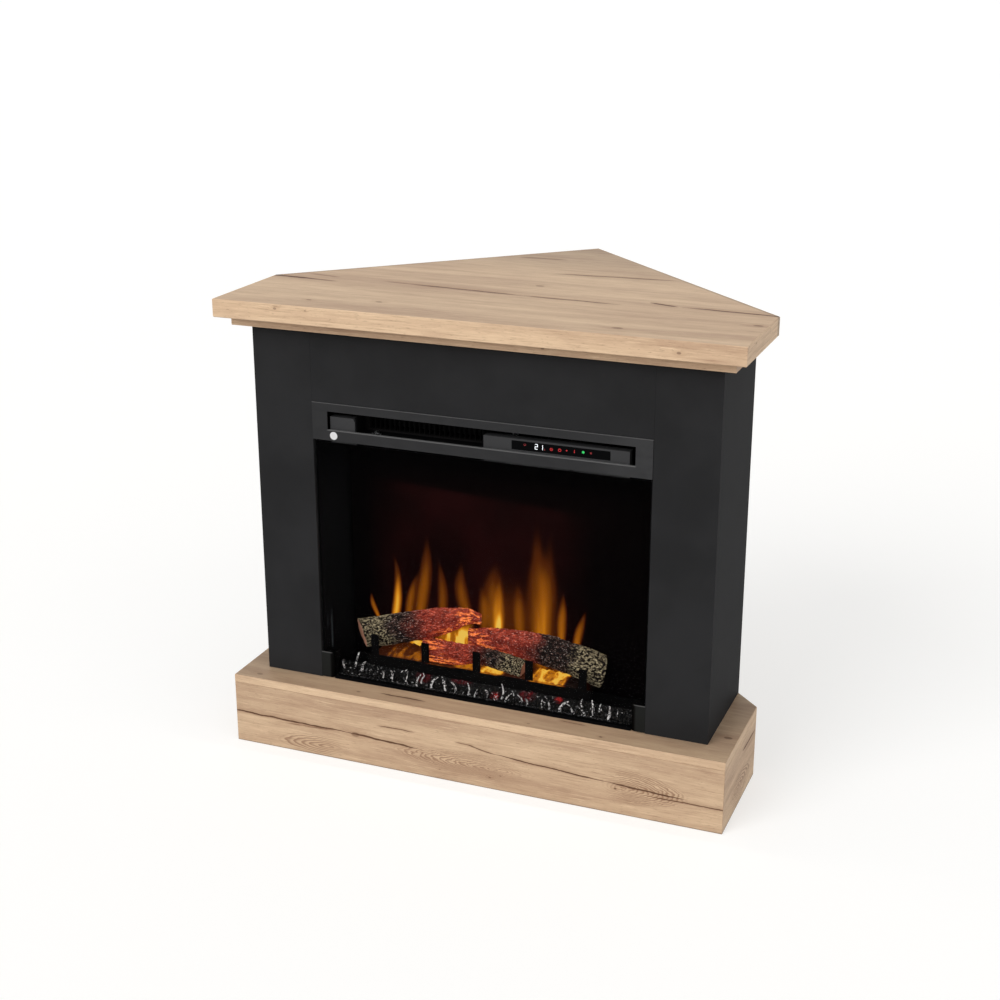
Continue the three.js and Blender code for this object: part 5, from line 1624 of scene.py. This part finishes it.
@dataclass
class Display:
    """Symbols that shine through the lens: generic marks and a room temperature."""

    front: float = -340.5
    proud: float = 0.12
    stroke: float = 1.1

    def build(self) -> None:
        """Build the symbols, one piece for each colour."""
        red, dim, white, green = (bmesh.new() for _ in range(4))
        self._ring(dim, 101.5, 737.5, 2.4, gap=0.5)
        self._digit(white, 125.5, 736, "2")
        self._digit(white, 136.0, 735.5, "1")
        self._bar(dim, 143, 732.0, 1.0, 4.0)
        self._ring(red, 156.8, 734.2, 3.0)
        self._bar(red, 156.8, 734.2, 1.6, 1.6)
        self._ring(red, 174, 734.6, 3.2, gap=0.35)
        self._bar(red, 174, 736.6, 0.9, 3.0)
        self._bar(red, 188.4, 735.4, 3.6, 0.9)
        self._bar(red, 188.4, 735.4, 0.9, 3.6)
        self._bar(red, 204.4, 736.6, 0.9, 4.0)
        self._ring(red, 204.4, 733.4, 1.0)
        self._ring(green, 222.5, 735.9, 2.6)
        self._bar(green, 222.5, 735.9, 2.2, 2.2)
        self._ring(dim, 238.2, 735.9, 2.0)
        self._bar(dim, 238.2, 735.9, 1.6, 0.9)
        for name, mesh, color, strength in (
            ("display_red_marks", red, srgb(168, 20, 26), 0.9),
            ("display_dim_marks", dim, srgb(120, 16, 20), 0.6),
            ("display_digits", white, srgb(236, 240, 244), 1.0),
            ("display_green_mark", green, srgb(40, 190, 92), 0.9),
        ):
            lit = Lit(name.replace("display", "lit"), color, strength)
            settle(to_object(mesh, name, lit.build()), "lens")

    def _prism(self, mesh: bmesh.types.BMesh, outline: Sequence[tuple[float, float]]) -> None:
        """Add a thin flat shape.

        Args:
            mesh: The mesh that it goes into.
            outline: Its corners, in millimetres of x and z.
        """
        faces = []
        for y in (self.front, self.front - self.proud):
            faces.append([mesh.verts.new(Vector((x, y, z)) * MM) for x, z in outline])
        back, front = faces
        new = [mesh.faces.new(front), mesh.faces.new(back[::-1])]
        for i in range(len(outline)):
            k = (i + 1) % len(outline)
            new.append(mesh.faces.new((front[i], back[i], back[k], front[k])))
        bmesh.ops.recalc_face_normals(mesh, faces=new)

    def _bar(self, mesh: bmesh.types.BMesh, x: float, z: float, wide: float, tall: float) -> None:
        """Add an upright bar round a middle."""
        a, b = wide / 2, tall / 2
        self._prism(mesh, [(x - a, z - b), (x + a, z - b), (x + a, z + b), (x - a, z + b)])

    def _ring(self, mesh: bmesh.types.BMesh, x: float, z: float, radius: float, gap: float = 0.0) -> None:
        """Add a ring.

        Args:
            mesh: The mesh that it goes into.
            x: Its middle across, in millimetres.
            z: Its middle's height, in millimetres.
            radius: Its radius, in millimetres.
            gap: How far it is open to each side of its top, in radians.
        """
        steps = 20
        inner = radius - self.stroke * 0.8
        turns = [math.pi / 2 + gap + (math.tau - 2 * gap) * i / steps for i in range(steps + 1)]
        for a0, a1 in zip(turns, turns[1:]):
            self._prism(mesh, [
                (x + r * math.cos(a), z + r * math.sin(a))
                for r, a in ((inner, a0), (radius, a0), (radius, a1), (inner, a1))
            ])

    def _digit(self, mesh: bmesh.types.BMesh, x: float, z: float, figure: str) -> None:
        """Add a seven-segment figure.

        Args:
            mesh: The mesh that it goes into.
            x: Its middle across, in millimetres.
            z: Its middle's height, in millimetres.
            figure: The figure.
        """
        wide, tall, s = 5.2, 10.0, self.stroke
        shown = {
            "1": ((wide / 2, tall / 4, s, tall / 2), (wide / 2, -tall / 4, s, tall / 2)),
            "2": ((0, tall / 2, wide, s), (wide / 2, tall / 4, s, tall / 2), (0, 0, wide, s),
                  (-wide / 2, -tall / 4, s, tall / 2), (0, -tall / 2, wide, s)),
        }[figure]
        for dx, dz, w, h in shown:
            self._bar(mesh, x + dx, z + dz, w, h)


@dataclass(frozen=True)
class Screws:
    """Hex screws with washer faces, which stand on a sheet."""

    name: str
    across: float
    turn: tuple[float, float, float]
    material: bpy.types.Material

    def at(self, places: Sequence[tuple[float, float, float]]) -> bpy.types.Object:
        """Stand a screw at each place.

        Args:
            places: The places on the sheet, in metres.

        Returns:
            The screws.
        """
        growth = Growth(self.name, (
            ("Across", "NodeSocketFloat"), ("Turn", "NodeSocketVector"), ("Material", "NodeSocketMaterial"),
        ))
        given = growth.given
        across = given["Across"]
        heads = []
        # The washer face, the hexagon and its top: sides, then radius, foot and top as shares of "across".
        for sides, wide, low, high in ((24, 0.75, -0.1, 0.12), (6, 0.55, 0.12, 0.5), (6, 0.46, 0.5, 0.58)):
            stub = growth.node("GeometryNodeMeshCylinder", None, {
                "Vertices": sides, "Radius": across * wide, "Depth": across * (high - low + 0.02),
            })
            lift = growth.point(0.0, 0.0, across * ((low + high) / 2))
            heads.append(growth.node("GeometryNodeTransform", None, {"Geometry": stub, "Translation": lift}))
        placed = growth.node("GeometryNodeInstanceOnPoints", None, {
            "Points": given["Geometry"], "Instance": growth.join(heads), "Rotation": given["Turn"],
        })
        growth.finish(placed)
        mesh = bmesh.new()
        for place in places:
            mesh.verts.new(place)
        return growth.put(to_object(mesh, self.name, self.material), self.name, {
            "Across": self.across, "Turn": self.turn, "Material": self.material,
        })


@dataclass
class Casing:
    """The fire's sheet-steel box and what fastens it."""

    disc_place: tuple[float, float, float] = (-316.1, -346.5, 710.2)
    disc_radius: float = 9.6
    back_columns: tuple[float, ...] = (-0.355, -0.178, 0.0, 0.178, 0.355)
    back_rows: tuple[float, ...] = (0.166, 0.771)
    side_rows: tuple[float, ...] = (0.36, 0.57)
    back_face: float = -0.122
    lid_face: float = 0.779

    def build(self) -> None:
        """Dress the sheets and fasten them."""
        zinc = Metal("zinc_plate", MetalLook.GALVANISED, (0.5, 0.51, 0.52, 1.0), 0.42).build()
        dress(("fixing_bracket_left", "fixing_bracket_right", "fan_motor", "rotor_motor",
               "flame_stencil"), zinc)
        dress(("front_bezel",), self._bezel_paint())
        dress(("end_block_left", "end_block_right"), self._block_paint())
        dress(("fire_grate",), self._grate_paint())
        for finish, nodes in (
            (Metal("black_powder_coat", MetalLook.POWDER, srgb(9, 9, 10), 0.75, 0.02),
             ("floor_pan", "casing_left_wall", "casing_right_wall", "heater_deck", "glass_rail",
              "crystal_tray", "outlet_duct", "glass_clip_left", "glass_clip_right", "fan_housing")),
            (Metal("casing_paint", MetalLook.POWDER, srgb(26, 26, 27), 0.6, 0.15),
             ("back_panel", "casing_lid")),
            (Metal("cover_paint", MetalLook.SATIN, srgb(53, 53, 54), 0.5),
             ("slot_cover", "control_housing")),
            (Metal("black_oxide", MetalLook.SATIN, srgb(14, 14, 15), 0.45, 0.1), ("fan_wheel",)),
            (Metal("bright_aluminium", MetalLook.BRIGHT, (0.75, 0.76, 0.77, 1.0), 0.28),
             ("flicker_rotor", "limit_thermostat")),
            (Moulding("black_plastic", srgb(22, 23, 24)), ("cable_gland", "fan_bearing", "rotor_bearing")),
            (Moulding("black_lens", srgb(3, 3, 4), 0.2, 0.03), ("display_lens",)),
            (Moulding("circuit_board", srgb(9, 15, 12), 0.5, 0.1), ("control_board",)),
            (Board("black_ceramic", srgb(16, 15, 15), 0.8, specular=0.05), ("heating_element",)),
            (Lit("lamp_strip_glow", (1.0, 0.72, 0.38, 1.0), 1.2), ("flame_lamp_strip", "ember_lamp_strip")),
            (Glass(), ("front_glass",)),
        ):
            dress(nodes, finish.build())
        self._disc()
        self._screws(zinc)

    def _screws(self, zinc: bpy.types.Material) -> None:
        """Fasten the back panel and the lid.

        Args:
            zinc: The screws' material.
        """
        sides = (self.back_columns[0], self.back_columns[-1])
        rim = [(x, self.back_face, z) for x in self.back_columns for z in self.back_rows]
        rim += [(x, self.back_face, z) for x in sides for z in self.side_rows]
        settle(Screws("back_screws", 0.008, (-math.pi / 2, 0.0, 0.0), zinc).at(rim), "zinc")
        corners = [(x, y, self.lid_face) for x in (-0.33, 0.33) for y in (-0.3, -0.15)]
        settle(Screws("lid_screws", 0.008, (0.0, 0.0, 0.0), zinc).at(corners), "zinc")

    def _disc(self) -> None:
        """Make the bare pale disc at the bezel's lower left corner, with a dark rim."""
        x, y, z = self.disc_place
        sides = 48
        mesh = bmesh.new()
        rows = []
        for share, proud in ((0.0, 0.45), (0.93, 0.4), (1.0, 0.2), (1.0, -0.1), (0.0, -0.1)):
            reach = share * self.disc_radius
            turns = [math.tau * i / sides for i in range(sides if share else 1)]
            rows.append([
                mesh.verts.new(Vector((x + reach * math.cos(a), y - proud, z + reach * math.sin(a))) * MM)
                for a in turns
            ])
        for near, far in zip(rows, rows[1:]):
            for i in range(sides):
                k = (i + 1) % sides
                corners = (near[i % len(near)], near[k % len(near)], far[k % len(far)], far[i % len(far)])
                mesh.faces.new(dict.fromkeys(corners))
        bmesh.ops.recalc_face_normals(mesh, faces=mesh.faces)
        paint = Paint("pale_disc", Roughness=0.5, Specular_IOR_Level=0.2)
        du, dv = paint.x.scaled(x, self.disc_radius), paint.z.scaled(z, self.disc_radius)
        rim = ((du * du + dv * dv) ** 0.5).smooth(0.85, 0.9)
        cloud = paint.noise(paint.place, 300.0, 2.0)
        face = paint.mix(cloud, srgb(206, 206, 206), srgb(222, 222, 222))
        paint.set(Base_Color=paint.mix(rim, face, srgb(12, 12, 12)))
        settle(to_object(mesh, "bezel_disc", paint.material), "bezel")

    @staticmethod
    def _bezel_paint() -> bpy.types.Material:
        """Build the bezel's satin black, with painted highlights along the slot's lower edge and the top.

        Returns:
            The material.
        """
        paint = Paint("bezel_paint", Roughness=0.5, Specular_IOR_Level=0.12)
        cloud = paint.noise(paint.point(paint.x * 22.0, 0.0, paint.z * 50.0), detail=3.0)
        tone = paint.mix(paint.x.smooth(0.2, 0.34), srgb(42, 42, 43), srgb(52, 52, 53))
        tone = paint.mix(0.4 * cloud.smooth(0.35, 0.7), tone, srgb(34, 34, 35))
        # Painted highlights: a light line along the slot's lower edge and another along the top edge.
        painted_sill_highlight = paint.z.window((0.7195, 0.7212), (0.722, 0.7226)) * abs(paint.x).smooth(0.332, 0.329)
        painted_edge_highlight = paint.z.smooth(0.7768, 0.7782) * 0.6
        paint.set(Base_Color=paint.mix((0.75 * painted_sill_highlight).most(painted_edge_highlight), tone, srgb(104, 104, 104)))
        paint.bump(paint.noise(paint.place, 1300.0, 2.0), 0.00005, 0.5)
        return paint.material

    @staticmethod
    def _block_paint() -> bpy.types.Material:
        """Build the end blocks' black, which shows only on their front, with a painted highlight along the
        top edge.

        Returns:
            The material.
        """
        paint = Paint("block_black", Roughness=0.5, Specular_IOR_Level=0.05)
        front = paint.y.smooth(-0.3425, -0.3444)
        outer = abs(paint.x).smooth(0.341, 0.3465)
        grain = paint.noise(paint.place, 900.0, 2.0)
        tone = paint.mix(outer * front, BLACK, paint.mix(grain, srgb(24, 25, 24), srgb(32, 33, 32)))
        # A painted highlight lightens the front's top edge.
        painted_edge_highlight = paint.z.smooth(0.2155, 0.2172) * front * abs(paint.x).smooth(0.337, 0.341)
        paint.set(Base_Color=paint.mix(0.8 * painted_edge_highlight, tone, srgb(84, 84, 84)))
        return paint.material

    @staticmethod
    def _grate_paint() -> bpy.types.Material:
        """Build the grate's black, with the fire's light on the rail's top.

        Returns:
            The material.
        """
        paint = Paint("grate_black", Roughness=0.7, Specular_IOR_Level=0.03, Emission_Strength=1.0)
        grain = paint.noise(paint.place, 600.0, 2.0)
        top = paint.z.window((0.2086, 0.2096), (0.2106, 0.2116))
        streak = paint.noise(paint.point(paint.x * 40.0, 2.0, 0.0), detail=2.0)
        reach = (
            0.45 * paint.x.window((-0.15, -0.12), (-0.08, -0.065))
            + paint.x.window((-0.016, -0.008), (0.02, 0.036))
            + paint.x.window((0.092, 0.104), (0.166, 0.184))
        )
        paint.set(
            Base_Color=paint.mix(grain, srgb(4, 4, 4), srgb(10, 9, 9)),
            Emission_Color=(top * reach * streak.smooth(0.25, 0.55) * 0.6).ramp(HEAT),
        )
        return paint.material


@dataclass
class Fire:
    """What glows behind the glass."""

    flames: tuple[Flame, ...] = (
        Flame((-297, 258), (-311, 313), -4, 8, 0.42),
        Flame((-254, 266), (-258, 420), 12, 13, 0.3),
        Flame((-253, 258), (-243, 366), 3, 13, 0.56),
        Flame((-196, 270), (-173, 475), 5, 22, 0.33),
        Flame((-222, 268), (-196, 380), -3, 13, 0.34),
        Flame((-140, 280), (-152, 424), 7, 17, 0.26),
        Flame((-80, 285), (-92, 424), -9, 22, 0.28),
        Flame((-15, 280), (-10, 436), -8, 32, 0.22),
        Flame((-8, 270), (-8, 392), 0, 15, 0.34),
        Flame((-8, 262), (-6, 320), 0, 10, 0.5),
        Flame((-42, 276), (-50, 372), 2, 16, 0.2),
        Flame((40, 280), (34, 388), 0, 18, 0.2),
        Flame((86, 270), (76, 545), 1, 32, 0.25),
        Flame((92, 272), (109, 530), 4, 26, 0.18),
        Flame((136, 270), (137, 382), 1, 13, 0.4),
        Flame((169, 254), (190, 348), -2, 12, 0.42),
    )
    logs: tuple[Log, ...] = (
        Log("log_left", ((-306, 80, 80, 32), (-217, 87, 104, 33), (-125, 93, 129, 29.5), (-66, 98, 150, 18),
                         (-32, 100, 147, 11)), (20, 4), 0.4, Bark("bark_left", 0.25, 0.17, 0.28, 0.46, 3.0)),
        Log("log_right", ((-60, 99, 102, 20), (11, 100, 105, 25), (102, 99, 103, 32), (168, 98, 92, 33),
                          (243, 99, 74, 34)), (5, 12), 2.1, Bark("bark_right", 0.74, 0.84, 0.56, 0.38, 7.0)),
        Log("log_front", ((-156, 73, 71, 26), (-90, 73, 70, 25), (-26, 73, 77, 20), (34, 73, 69, 20),
                          (76, 73, 61, 19)), (6, -1), 4.0, Bark("bark_front", 0.62, 0.76, 0.62, 0.42, 11.0)),
    )

    def build(self) -> None:
        """Dress the screen and make the fuel bed and the display."""
        dress(["flame_screen"], FlameScreen("flame_screen_glow", self.flames).build())
        for log in self.logs:
            log.build()
        EmberBed().build()
        Crystals().build()
        Display().build()


def main() -> None:
    """Build the scene."""
    logging.basicConfig(level=logging.INFO, format="%(name)s: %(message)s")
    noise.seed_set(NOISE_SEED)
    for part in (Studio(), Surround(), Casing(), Fire()):
        part.build()
        LOG.info("built %s", type(part).__name__)


if __name__ == "__main__":
    main()
